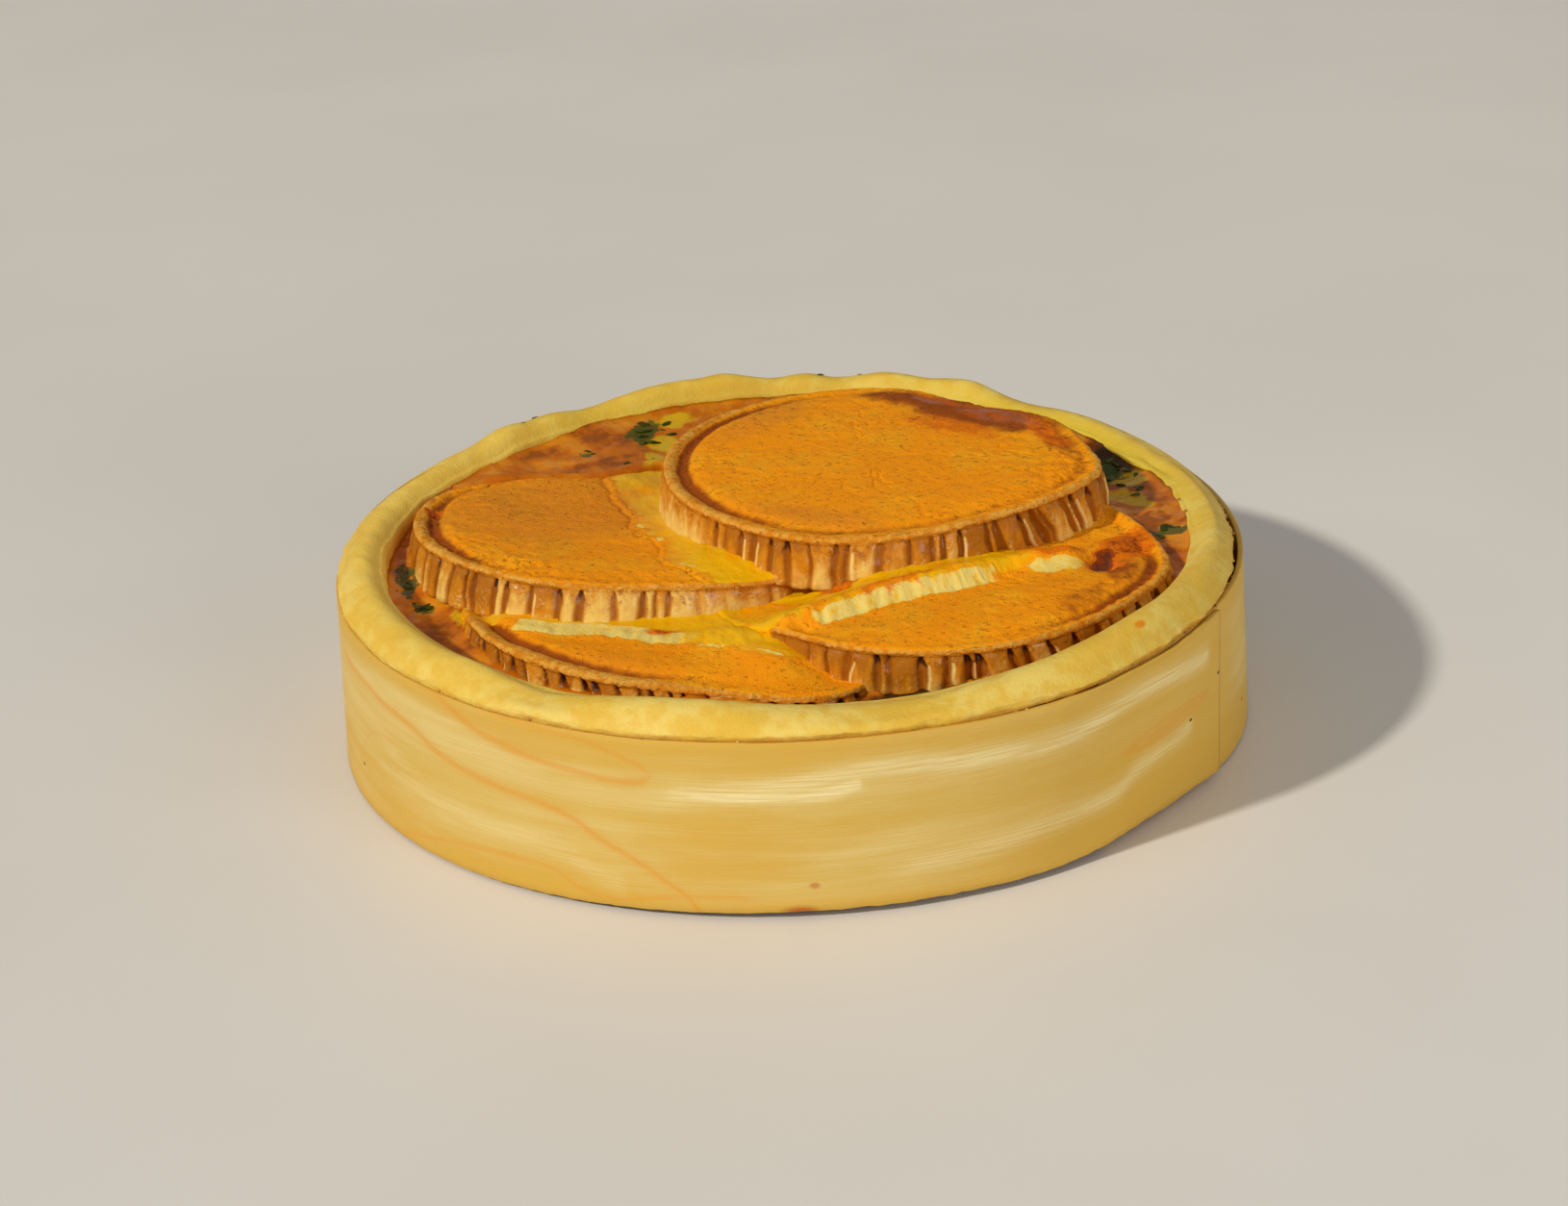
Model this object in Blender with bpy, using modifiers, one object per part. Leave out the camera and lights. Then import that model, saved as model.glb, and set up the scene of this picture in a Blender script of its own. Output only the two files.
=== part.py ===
"""A goat cheese and spinach quiche, baked in a bent band of poplar veneer.

Run it with: blender --background --python part.py

Units are metres and +Z is up. The quiche stands on z = 0, centred on the Z axis, and -Y is its
front. The band's two ends lap at the right, and four rounds of goat cheese lie on the custard
like shingles: the back one on the left and right ones, and those on the front one.
"""

import math

import bmesh
import bpy
from mathutils import Euler, Vector, noise

# The band of veneer: one strip, rolled up and lapped over its own start. Its outer end shows at
# the right front. At the lap the start is pressed in and the end steps out over it, and there
# the band narrows towards its foot where elsewhere it widens.
BAND_RADIUS = 0.0850
BAND_THICKNESS = 0.0010
BAND_TOP = 0.0331
BAND_END = -26.8
BAND_LAP = 25.0
BAND_COLUMNS = 84
LAP_MARGIN = 5.0
LAP_PRESS = 0.0006
LAP_STEP = 0.0008
BAND_FLARE = 0.0009
BAND_TUCK = 0.0022
BAND_TUCK_ANGLE = -40.0
BAND_TUCK_SPREAD = 11.0
BAND_FOOT = 0.0003
BAND_WAVE = 0.0001
# The front of the band stands clear of the table, most of all near its outer end, and its top
# edge is lowest there too.
FRONT_LIFT = 0.0010
FRONT_LIFT_ANGLE = -80.0
FRONT_LIFT_SPREAD = 30.0
END_LIFT = 0.0015
END_LIFT_BACK = 12.0
END_LIFT_SPREAD = 11.0
TOP_DIP = 0.0008
TOP_DIP_ANGLE = -60.0
TOP_DIP_SPREAD = 14.0

# The crust: a shell with a thick, thumb-smoothed rim that swells a little over the band.
CRUST_FOOT = 0.0800
CRUST_OUTSIDE = 0.0832
CRUST_LIP = 0.0848
CRUST_CREST = 0.0377
CRUST_INSIDE = 0.0750
CRUST_FLOOR = 0.0050
CRUST_STEPS = 90
RIM_FOOT = 0.0345
BAND_GAP = 0.0004
# Lumps of the rim: where it peaks (degrees from +X, to the left), how wide, how much higher.
RIM_LUMPS = (
    (134.0, 3.0, 0.0014),
    (126.0, 3.0, 0.0011),
    (108.0, 5.0, 0.0021),
    (98.0, 4.0, 0.0024),
    (86.0, 3.0, 0.0016),
    (74.0, 4.0, 0.0020),
    (62.0, 4.0, 0.0019),
    (53.0, 4.0, -0.0009),
    (24.0, 16.0, -0.0016),
    (-40.0, 8.0, 0.0008),
    (-75.0, 9.0, -0.0021),
    (-104.0, 7.0, 0.0006),
    (-123.0, 5.0, -0.0020),
)
RIM_WOBBLE = 0.0003
# On the right the crust has shrunk away from the band.
SHRINK = 0.0021
SHRINK_ANGLE = 5.0
SHRINK_SPREAD = 17.0

# The custard, which is lower at the front than at the back.
CUSTARD_LEVEL = 0.0322
CUSTARD_RISE_BACK = 0.040
CUSTARD_RISE_RIGHT = 0.010
CUSTARD_OUTSIDE = 0.0746
CUSTARD_RINGS = (0.0738, 0.0715, 0.0680, 0.0640, 0.0595, 0.0540, 0.0470, 0.0360, 0.0180)
CUSTARD_STEPS = 80
CUSTARD_SKIN_RISE = 0.0008
# Swells and hollows of the baked skin: place, spread and height.
CUSTARD_SWELLS = (
    (-0.036, 0.057, 0.007, 0.0010),
    (-0.054, 0.041, 0.006, 0.0009),
    (-0.018, 0.040, 0.012, -0.0010),
    (0.060, 0.030, 0.007, -0.0026),
    (0.068, 0.004, 0.008, 0.0014),
    (0.064, 0.022, 0.004, 0.0010),
    (-0.070, -0.014, 0.005, -0.0010),
    (-0.040, -0.050, 0.014, -0.0012),
    (0.006, -0.063, 0.009, -0.0010),
    (0.014, -0.059, 0.008, -0.0024),
)
# Spinach that stands out of the skin: place, length, turn and height.
SPINACH = (
    (-0.0690, -0.0160, 0.0060, 60.0, 0.0011),
    (-0.0712, -0.0060, 0.0050, 95.0, 0.0010),
    (-0.0255, 0.0600, 0.0070, 20.0, 0.0011),
    (-0.0285, 0.0480, 0.0055, 80.0, 0.0011),
    (-0.0340, 0.0650, 0.0050, 10.0, 0.0008),
    (0.0665, 0.0330, 0.0060, 140.0, 0.0010),
    (0.0668, 0.0190, 0.0070, 30.0, 0.0011),
    (0.0700, -0.0020, 0.0070, 15.0, 0.0010),
    (0.0655, -0.0085, 0.0055, 40.0, 0.0009),
    (0.0180, -0.0655, 0.0070, 5.0, 0.0010),
)
SPINACH_FLATNESS = 0.45

# A round of goat cheese: a slice of a ridged log, browned on top, with a furrow inside its rind.
ROUND_DOME = 0.0007
ROUND_FURROW = 0.0009
RIND_RIDGES = 66
RIDGE_DEPTH = 0.0009
LIP_WIDTH = 0.0015
SKIRT = 0.0011
FACE_TRIANGLES = 380
CUTTER_STEPS = 72
CUTTER_REACH = 0.016
CLEARANCE = 0.00045
WALL_LIMIT = 0.0745

# Each round: the centre of its top, its radius, its height, how far its top falls along X and Y
# for each metre, and the places where its outline swells or flattens (degrees, spread, metres).
# Where its skin was pulled apart there is a tear from one point to another: the paste behind it
# rises, or stays down, and then falls under the rounds that lie there. Melted paste swells its
# top, or sinks it (x, y, spread, height), and where one droops its rind sinks as well.
ROUNDS = {
    "cheese_round_back": {
        "centre": (0.0176, 0.0164, 0.0444),
        "radius": 0.0402,
        "height": 0.0102,
        "fall": (0.004, 0.002),
        "outline": (
            (-15.0, 10.0, 0.0032),
            (54.0, 14.0, -0.0062),
            (-110.0, 12.0, 0.0013),
            (-60.0, 15.0, -0.0023),
            (145.0, 25.0, 0.0012),
        ),
        "tear": None,
        "swells": (),
    },
    "cheese_round_left": {
        "centre": (-0.0298, 0.0121, 0.0348),
        "radius": 0.0413,
        "height": 0.0092,
        "fall": (0.086, 0.107),
        "outline": (
            (-82.0, 12.0, -0.0020),
            (-38.0, 10.0, 0.0035),
            (103.0, 20.0, -0.0105),
            (150.0, 12.0, 0.0014),
        ),
        "tear": None,
        "swells": (
            (0.024, 0.004, 0.008, 0.0016),
            (0.014, -0.013, 0.009, 0.0010),
            (0.022, -0.024, 0.007, 0.0022),
            (-0.020, 0.031, 0.010, 0.0014),
            (0.003, 0.029, 0.010, 0.0022),
        ),
    },
    "cheese_round_right": {
        "centre": (0.0266, -0.0160, 0.0365),
        "radius": 0.0411,
        "height": 0.0086,
        "fall": (0.0, 0.0),
        "outline": ((-135.0, 8.0, -0.0012), (-92.0, 15.0, 0.0008), (-12.0, 12.0, 0.0022)),
        "tear": ((-0.0203, -0.0261), (0.0271, -0.0043), 0.0019, 0.0009),
        "swells": ((-0.026, -0.003, 0.008, -0.0045), (0.024, 0.009, 0.009, -0.0012)),
        "droop": (-0.037, -0.012, 0.009, -0.0045),
    },
    "cheese_round_front": {
        "centre": (-0.0195, -0.0165, 0.0325),
        "radius": 0.0408,
        "height": 0.0084,
        "fall": (0.060, -0.010),
        "outline": ((-57.0, 15.0, 0.0108), (-125.0, 16.0, -0.0008)),
        "tear": ((-0.0298, -0.0170), (0.0276, -0.0350), -0.0010, 0.0004),
        "swells": ((0.010, -0.024, 0.006, 0.0024), (0.017, -0.032, 0.005, 0.0024)),
    },
}
TEAR_DIP = 0.0010
TEAR_WIDTH = 0.0048
TEAR_FALL_WIDTH = 0.0045

# Faces that meet at a larger angle than this, in degrees, keep a crease between them.
SHARP_ANGLE = 30.0

# Colour and roughness of each material.
FINISHES = {
    "poplar_veneer": ((0.80, 0.62, 0.30), 0.55),
    "shortcrust": ((0.85, 0.64, 0.26), 0.60),
    "baked_custard": ((0.36, 0.13, 0.03), 0.40),
    "browned_cheese": ((0.80, 0.38, 0.06), 0.50),
}


def material(name):
    """The named finish as a Principled material."""
    colour, roughness = FINISHES[name]
    made = bpy.data.materials.new(name)
    made.use_nodes = True
    shader = made.node_tree.nodes["Principled BSDF"]
    shader.inputs["Base Color"].default_value = (*colour, 1.0)
    shader.inputs["Roughness"].default_value = roughness
    shader.inputs["Metallic"].default_value = 0.0
    return made


def bell(offset, spread):
    """A bell curve that is 1 at no offset."""
    return math.exp(-0.5 * (offset / spread) ** 2)


def angle_bell(angle, centre, spread):
    """The same for angles in degrees, which wrap round the circle."""
    return bell((angle - centre + 180.0) % 360.0 - 180.0, spread)


def ramp(value, low, high):
    """0 below low, 1 above high, and smooth between."""
    share = min(1.0, max(0.0, (value - low) / (high - low)))
    return share * share * (3.0 - 2.0 * share)


def swell(swells, x, y):
    """The summed height of round swells, each (x, y, spread, height)."""
    return sum(height * bell(math.hypot(x - cx, y - cy), spread) for cx, cy, spread, height in swells)


def applied(obj):
    """Bakes an object's modifiers into its mesh."""
    bpy.context.view_layer.update()
    graph = bpy.context.evaluated_depsgraph_get()
    mesh = bpy.data.meshes.new_from_object(obj.evaluated_get(graph))
    obj.modifiers.clear()
    obj.data = mesh
    return obj


def turned(name, profile, steps, collection):
    """A body turned round Z from (radius, height) points that run from its top down its outside."""
    mesh = bpy.data.meshes.new(name)
    edges = [(i, i + 1) for i in range(len(profile) - 1)]
    mesh.from_pydata([(radius, 0.0, height) for radius, height in profile], edges, [])
    obj = bpy.data.objects.new(name, mesh)
    collection.objects.link(obj)
    screw = obj.modifiers.new("turn", "SCREW")
    screw.steps = screw.render_steps = steps
    screw.use_merge_vertices = True
    screw.merge_threshold = 0.000001
    return applied(obj)


def reshaped(obj, rule):
    """Moves every vertex of an object to where the rule sends it."""
    for vertex in obj.data.vertices:
        vertex.co = rule(vertex.co)
    obj.data.update()
    return obj


def dressed(obj, finish):
    """Gives an object its material and smooth shading that keeps its creases."""
    obj.data.materials.clear()
    obj.data.materials.append(finish)
    obj.data.shade_smooth()
    obj.data.set_sharp_from_angle(angle=math.radians(SHARP_ANGLE))
    return obj


def band_outside(along, up):
    """Radius of the strip's outer face, at degrees along its spiral and a share of its height."""
    start = BAND_END - BAND_LAP
    pressed = LAP_PRESS * (1.0 - ramp(along, start + BAND_LAP - 5.0, start + BAND_LAP + 10.0))
    step = LAP_STEP * ramp(along, start + 336.0, start + 360.0)
    tuck = BAND_TUCK * angle_bell(along, BAND_TUCK_ANGLE, BAND_TUCK_SPREAD)
    return BAND_RADIUS - pressed + step + (BAND_FLARE - tuck) * (1.0 - up)


def band_bottom(along):
    """The strip's lower edge."""
    wave = BAND_WAVE * math.sin(math.radians(3.0 * along + 40.0))
    front = FRONT_LIFT * angle_bell(along, FRONT_LIFT_ANGLE, FRONT_LIFT_SPREAD)
    end = END_LIFT * bell(along - (BAND_END + 360.0 - END_LIFT_BACK), END_LIFT_SPREAD)
    return BAND_FOOT + wave + front + end


def band_top(angle):
    """The strip's upper edge."""
    wave = BAND_WAVE * (1.0 + math.sin(math.radians(2.0 * angle)))
    return BAND_TOP - wave - TOP_DIP * angle_bell(angle, TOP_DIP_ANGLE, TOP_DIP_SPREAD)


def band_inside(angle, height):
    """Radius of the room inside the band, where at the lap the inner layer counts."""
    start = BAND_END - BAND_LAP - LAP_MARGIN
    along = start + (angle - start) % 360.0
    up = min(1.0, max(0.0, height / BAND_TOP))
    return band_outside(along, up) - BAND_THICKNESS


def make_band(collection):
    """The veneer band: a flat strip bent along its spiral and given its thickness."""
    start = BAND_END - BAND_LAP
    sweep = 360.0 + BAND_LAP
    sheet = bmesh.new()
    bmesh.ops.create_grid(sheet, x_segments=BAND_COLUMNS, y_segments=2, size=0.5)
    for vertex in sheet.verts:
        along = start + sweep * (vertex.co.x + 0.5)
        up = vertex.co.y + 0.5
        radius = band_outside(along, up) - BAND_THICKNESS / 2
        height = band_bottom(along) * (1.0 - up) + band_top(along) * up
        turn = math.radians(along)
        vertex.co = (radius * math.cos(turn), radius * math.sin(turn), height)
    mesh = bpy.data.meshes.new("wood_band")
    sheet.to_mesh(mesh)
    sheet.free()
    obj = bpy.data.objects.new("wood_band", mesh)
    collection.objects.link(obj)
    solidify = obj.modifiers.new("thickness", "SOLIDIFY")
    solidify.thickness = BAND_THICKNESS
    solidify.offset = 0.0
    return applied(obj)


def crust_profile():
    """The shell from the middle of its floor, up its inside, over the rim and down to its foot."""
    crest = CRUST_CREST
    return (
        (0.0, CRUST_FLOOR),
        (0.0715, CRUST_FLOOR + 0.0002),
        (0.0738, 0.0080),
        (CRUST_INSIDE, 0.0280),
        (0.0754, 0.0348),
        (0.0766, crest - 0.0014),
        (0.0782, crest - 0.0003),
        (0.0798, crest),
        (0.0816, crest - 0.0004),
        (0.0834, crest - 0.0016),
        (0.0845, crest - 0.0030),
        (CRUST_LIP, BAND_TOP + 0.0011),
        (CRUST_LIP - 0.0003, BAND_TOP + BAND_GAP),
        (CRUST_OUTSIDE, BAND_TOP + BAND_GAP),
        (CRUST_OUTSIDE, BAND_TOP - 0.0008),
        (CRUST_OUTSIDE, 0.0045),
        (0.0824, 0.0015),
        (CRUST_FOOT, 0.0),
        (0.0, 0.0),
    )


def crust_rule(point):
    """Shapes the turned shell: the lumps of its rim, its fit in the band, and where it shrank."""
    radius = math.hypot(point.x, point.y)
    if radius < 0.001:
        return point
    angle = math.degrees(math.atan2(point.y, point.x))
    lumps = sum(height * angle_bell(angle, centre, spread) for centre, spread, height in RIM_LUMPS)
    wobble = RIM_WOBBLE * noise.noise(Vector((point.x, point.y, 0.0)) * 95.0)
    share = ramp(point.z, RIM_FOOT, CRUST_CREST)
    height = point.z + share * (lumps + wobble)
    side = ramp(radius, 0.0785, 0.0832)
    if side > 0.9 and point.z > BAND_TOP / 2:
        height += (band_top(angle) - BAND_TOP) * (1.0 - share)
    drawn_in = SHRINK * angle_bell(angle, SHRINK_ANGLE, SHRINK_SPREAD) * side
    moved = radius - drawn_in * ramp(point.z, 0.004, 0.012)
    if radius < CRUST_OUTSIDE + 0.0001:
        moved = min(moved, band_inside(angle, point.z) - BAND_GAP)
    return Vector((point.x * moved / radius, point.y * moved / radius, height))


def make_crust(collection):
    """The pastry shell with its uneven rim."""
    return reshaped(turned("crust", crust_profile(), CRUST_STEPS, collection), crust_rule)


def custard_height(x, y):
    """Height of the custard's skin over a point."""
    radius = math.hypot(x, y)
    level = CUSTARD_LEVEL + CUSTARD_RISE_BACK * y + CUSTARD_RISE_RIGHT * x
    climb = CUSTARD_SKIN_RISE * ramp(radius, 0.066, CUSTARD_OUTSIDE)
    ripple = 0.0004 * noise.noise(Vector((x, y, 0.0)) * 120.0)
    return level + climb + ripple + swell(CUSTARD_SWELLS, x, y) + spinach_height(x, y)


def spinach_height(x, y):
    """How far scraps of spinach stand out of the skin over a point."""
    total = 0.0
    for cx, cy, length, turn, height in SPINACH:
        cosine = math.cos(math.radians(turn))
        sine = math.sin(math.radians(turn))
        along = (x - cx) * cosine + (y - cy) * sine
        across = (y - cy) * cosine - (x - cx) * sine
        total += height * bell(math.hypot(along, across / SPINACH_FLATNESS), length / 2)
    return total


def make_custard(collection):
    """The custard fills the shell, with a baked skin that swells and sinks."""
    profile = [(0.0, CUSTARD_LEVEL)]
    profile += [(radius, CUSTARD_LEVEL) for radius in reversed(CUSTARD_RINGS)]
    profile += [(CUSTARD_OUTSIDE, CUSTARD_LEVEL - 0.0007)]
    profile += [(CRUST_INSIDE - 0.0005, 0.0270), (0.0733, 0.0083), (0.0712, 0.0056), (0.0, 0.0054)]

    def rule(point):
        share = ramp(point.z, 0.0275, CUSTARD_LEVEL - 0.0010)
        lift = custard_height(point.x, point.y) - CUSTARD_LEVEL
        return Vector((point.x, point.y, point.z + share * lift))

    return reshaped(turned("custard", profile, CUSTARD_STEPS, collection), rule)


def outline_share(spot, angle, grow):
    """How far a round's outline lies from its centre at an angle, as a share of its radius."""
    radius = spot["radius"] + sum(
        size * angle_bell(angle, centre, spread) for centre, spread, size in spot["outline"]
    )
    return (radius + grow) / spot["radius"]


def tear_height(spot, x, y):
    """Step in a round's top along the line where it was pulled apart."""
    if spot["tear"] is None:
        return 0.0
    (x0, y0), (x1, y1), rise, fall = spot["tear"]
    length = math.hypot(x1 - x0, y1 - y0)
    along = ((x1 - x0) * (x - x0) + (y1 - y0) * (y - y0)) / length**2
    behind = ((x1 - x0) * (y - y0) - (y1 - y0) * (x - x0)) / length
    behind += 0.0010 * noise.noise(Vector((x, y, 0.2)) * 160.0)
    ridge = (TEAR_DIP + rise * (1.0 - ramp(along, 0.5, 1.0))) * ramp(behind, 0.0, TEAR_WIDTH)
    back = fall * ramp(behind, TEAR_WIDTH, TEAR_WIDTH + TEAR_FALL_WIDTH)
    return ridge - back - TEAR_DIP * ramp(behind, -0.012, 0.0)


def round_profile(spot):
    """Half the section of a round, from the middle of its top to the middle of its underside."""
    edge = spot["radius"]
    return (
        (0.0, ROUND_DOME),
        (0.005, ROUND_DOME),
        (0.010, ROUND_DOME),
        (0.014, ROUND_DOME),
        (0.018, ROUND_DOME),
        (0.022, ROUND_DOME * 0.95),
        (0.026, ROUND_DOME * 0.9),
        (0.030, ROUND_DOME * 0.7),
        (edge - 0.0075, ROUND_DOME * 0.5),
        (edge - 0.0046, 0.0),
        (edge - 0.0031, -ROUND_FURROW),
        (edge - LIP_WIDTH, 0.0),
        (edge, -0.0007),
        (edge + SKIRT, -spot["height"] * 0.93),
        (edge + SKIRT - 0.0008, -spot["height"]),
        (0.0, -spot["height"]),
    )


def within_wall(spot, x, y, height):
    """A round's point, drawn in to where the crust's wall leaves room for it."""
    world_x = spot["centre"][0] + x + spot["fall"][0] * height
    world_y = spot["centre"][1] + y + spot["fall"][1] * height
    reach = math.hypot(world_x, world_y)
    excess = max(0.0, 1.0 - WALL_LIMIT / reach) if reach else 0.0
    return Vector((x - excess * world_x, y - excess * world_y, height))


def make_round(name, spot, collection):
    """One round of cheese: a turned slice with a ridged rind, then its own outline and relief."""
    edge = spot["radius"]
    steps = RIND_RIDGES * 2

    def rule(point):
        radius = math.hypot(point.x, point.y)
        if radius < 0.001:
            return point
        angle = math.degrees(math.atan2(point.y, point.x))
        step = round(angle % 360.0 / 360.0 * steps) % steps
        on_rind = radius > edge - 0.0001
        unevenness = 0.8 + 0.8 * noise.noise(Vector((step * 1.7, 0.3, 0.0)))
        cut = RIDGE_DEPTH * unevenness if on_rind and step % 2 else 0.0
        reach = 1.0 + (outline_share(spot, angle, 0.0) - 1.0) * ramp(radius, 0.0, edge)
        moved = (radius - cut) * reach
        x = point.x / radius * moved
        y = point.y / radius * moved
        height = point.z
        if height > -0.002:
            inside = 1.0 - ramp(radius, edge - 0.0035, edge + 0.0005)
            height += inside * (tear_height(spot, x, y) + swell(spot["swells"], x, y))
            height += 0.00025 * noise.noise(Vector((x, y, 0.7)) * 150.0)
            if "droop" in spot:
                height += swell((spot["droop"],), x, y)
        return within_wall(spot, x, y, height)

    profile = round_profile(spot)
    obj = reshaped(turned(name, profile, steps, collection), rule)
    face = obj.vertex_groups.new(name="face")
    inner = [v.index for v in obj.data.vertices if math.hypot(v.co.x, v.co.y) < edge - 0.0042]
    face.add(inner, 1.0, "REPLACE")
    whole = 2.0 * steps * (len(profile) - 2)
    on_face = 2.0 * steps * sum(1 for radius, height in profile[1:-1] if radius < edge - 0.0042)
    decimate = obj.modifiers.new("fewer_triangles", "DECIMATE")
    decimate.vertex_group = face.name
    decimate.ratio = (whole - on_face + FACE_TRIANGLES) / whole
    return placed(applied(obj), spot)


def placed(obj, spot):
    """Sets a round or its cutter where it lies, leaning as the round does."""
    fall_x, fall_y = spot["fall"]
    obj.rotation_euler = Euler((-math.atan(fall_y), math.atan(fall_x), 0.0))
    obj.location = spot["centre"]
    return obj


def make_cutter(name, spot, collection):
    """A plain copy of a round, a little larger and open to the sky, that clears its place."""
    edge = spot["radius"]
    foot = -spot["height"]
    profile = (
        (0.0, CUTTER_REACH),
        (edge, CUTTER_REACH),
        (edge, -0.0009),
        (edge + SKIRT, foot * 0.93),
        (edge + SKIRT - 0.0008, foot - CLEARANCE),
        (0.0, foot - CLEARANCE),
    )

    def rule(point):
        angle = math.degrees(math.atan2(point.y, point.x))
        reach = outline_share(spot, angle, CLEARANCE)
        return Vector((point.x * reach, point.y * reach, point.z))

    cutter = placed(reshaped(turned(name + "_cutter", profile, CUTTER_STEPS, collection), rule), spot)
    cutter.hide_render = True
    cutter.display_type = "WIRE"
    return cutter


def cut(obj, cutters):
    """Takes each cutter's volume out of an object."""
    for cutter in cutters:
        difference = obj.modifiers.new("clear_" + cutter.name, "BOOLEAN")
        difference.operation = "DIFFERENCE"
        difference.object = cutter
    return applied(obj)


def main():
    for old in list(bpy.data.objects):
        bpy.data.objects.remove(old)
    parts = bpy.data.collections.new("goat_cheese_quiche")
    cutters = bpy.data.collections.new("cutters")
    for collection in (parts, cutters):
        bpy.context.scene.collection.children.link(collection)
    finishes = {name: material(name) for name in FINISHES}

    dressed(make_band(parts), finishes["poplar_veneer"])
    dressed(make_crust(parts), finishes["shortcrust"])
    custard = make_custard(parts)
    above = []
    for name, spot in ROUNDS.items():
        cheese = make_round(name, spot, parts)
        cutter = make_cutter(name, spot, cutters)
        bpy.context.view_layer.update()
        dressed(cut(cheese, above), finishes["browned_cheese"])
        above.append(cutter)
    dressed(cut(custard, above), finishes["baked_custard"])


main()
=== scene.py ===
"""Looks of the goat cheese and spinach quiche.

Every piece is a fine mesh skinned over a grid of points, with +Z up and -Y to the front. Shapes
are worked out in millimetres, and angles in degrees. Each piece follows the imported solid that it
stands for. Each mesh carries a few values for each point, such as how far the cheese has melted
there, and its finish turns them into colour, gloss and fine relief.
"""

from __future__ import annotations

import logging
import math
from dataclasses import dataclass, field
from enum import Enum

import bpy
import numpy as np
from mathutils import Euler, Matrix, Vector


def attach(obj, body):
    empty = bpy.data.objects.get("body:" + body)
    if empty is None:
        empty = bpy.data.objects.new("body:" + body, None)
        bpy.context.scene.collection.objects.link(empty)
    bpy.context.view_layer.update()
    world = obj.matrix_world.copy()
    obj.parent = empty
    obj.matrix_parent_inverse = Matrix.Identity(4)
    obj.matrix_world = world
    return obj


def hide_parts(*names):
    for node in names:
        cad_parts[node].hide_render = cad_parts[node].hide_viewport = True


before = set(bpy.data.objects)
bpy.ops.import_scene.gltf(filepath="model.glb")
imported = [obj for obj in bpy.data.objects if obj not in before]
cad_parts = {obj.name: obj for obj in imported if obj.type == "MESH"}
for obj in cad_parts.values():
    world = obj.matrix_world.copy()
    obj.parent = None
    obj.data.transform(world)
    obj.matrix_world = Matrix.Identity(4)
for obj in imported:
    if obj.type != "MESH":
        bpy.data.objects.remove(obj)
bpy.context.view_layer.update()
LOG = logging.getLogger("quiche")

MM = 0.001
Array = np.ndarray
Triple = tuple[float, float, float]
Colour = Triple
Spots = tuple[tuple[float, float], ...]
Bells = tuple[Triple, ...]
Swells = tuple[tuple[float, float, float, float], ...]


def ramp(value: Array, low: float, high: float) -> Array:
    """Gives 0 below low, 1 above high and a smooth rise between, or falls if low is larger.

    Args:
        value: The numbers to judge.
        low: Where the rise starts.
        high: Where it ends.

    Returns:
        Shares from 0 to 1, in the shape of value.
    """
    share = np.clip((value - low) / (high - low), 0.0, 1.0)
    return share * share * (3.0 - 2.0 * share)


def bell(offset: Array, spread: float) -> Array:
    """Gives a bell curve that is 1 where the offset is 0."""
    return np.exp(-0.5 * (offset / spread) ** 2)


def turn_bell(angle: Array, centre: float, spread: float) -> Array:
    """Gives the same for angles in degrees, which wrap round the circle."""
    return bell((angle - centre + 180.0) % 360.0 - 180.0, spread)


def bells(places: Bells, angle: Array) -> Array:
    """Gives the sum of bells round the circle, each (degrees, spread, size)."""
    return sum(size * turn_bell(angle, centre, spread) for centre, spread, size in places) + 0.0 * angle


def dice(cells: Array, seed: int) -> Array:
    """Draws one number from -1 to 1 for each whole-number cell.

    Args:
        cells: Whole numbers, with three in the last axis.
        seed: Which draw it is.

    Returns:
        One number a cell, always the same for the same cell and seed.
    """
    mixed = cells[..., 0] * 374761393 + cells[..., 1] * 668265263 + cells[..., 2] * 1440662683
    mixed = (mixed + seed * 83492791) & 0xFFFFFFFF
    mixed = ((mixed ^ (mixed >> 13)) * 1274126177) & 0xFFFFFFFF
    return ((mixed ^ (mixed >> 16)) & 0xFFFF) / 32767.5 - 1.0


def grain(points: Array, size: float, seed: int = 0, octaves: int = 1) -> Array:
    """Gives smooth noise from about -1 to 1.

    Args:
        points: Places, with X, Y and Z in the last axis.
        size: Width of the largest lumps.
        seed: Which noise it is.
        octaves: How many finer layers it has, each half as wide and half as strong.

    Returns:
        One number a point.
    """
    total = np.zeros(points.shape[:-1])
    for octave in range(octaves):
        spot = points * (2.0**octave / size) + 11.3 * (seed + octave)
        cell = np.floor(spot).astype(np.int64)
        share = spot - cell
        share = share * share * (3.0 - 2.0 * share)
        for corner in range(8):
            step = np.array([corner & 1, corner >> 1 & 1, corner >> 2])
            weight = np.prod(np.where(step == 1, share, 1.0 - share), axis=-1)
            total += weight * dice(cell + step, seed + octave) * 0.5**octave
    return total


def flat(x: Array, y: Array, z: Array | float = 0.0) -> Array:
    """Stacks X, Y and a height into points."""
    return np.stack(np.broadcast_arrays(x, y, z), axis=-1)


def around(radius: Array, angle: Array, height: Array) -> Array:
    """Gives points from radii, degrees round the middle and heights."""
    turn = np.radians(angle)
    return flat(radius * np.cos(turn), radius * np.sin(turn), height)


def swell(swells: Swells, x: Array, y: Array) -> Array:
    """Gives the summed height of round swells, each (x, y, spread, height)."""
    total = np.zeros(np.shape(x))
    for centre_x, centre_y, spread, height in swells:
        total += height * bell(np.hypot(x - centre_x, y - centre_y), spread)
    return total


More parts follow.
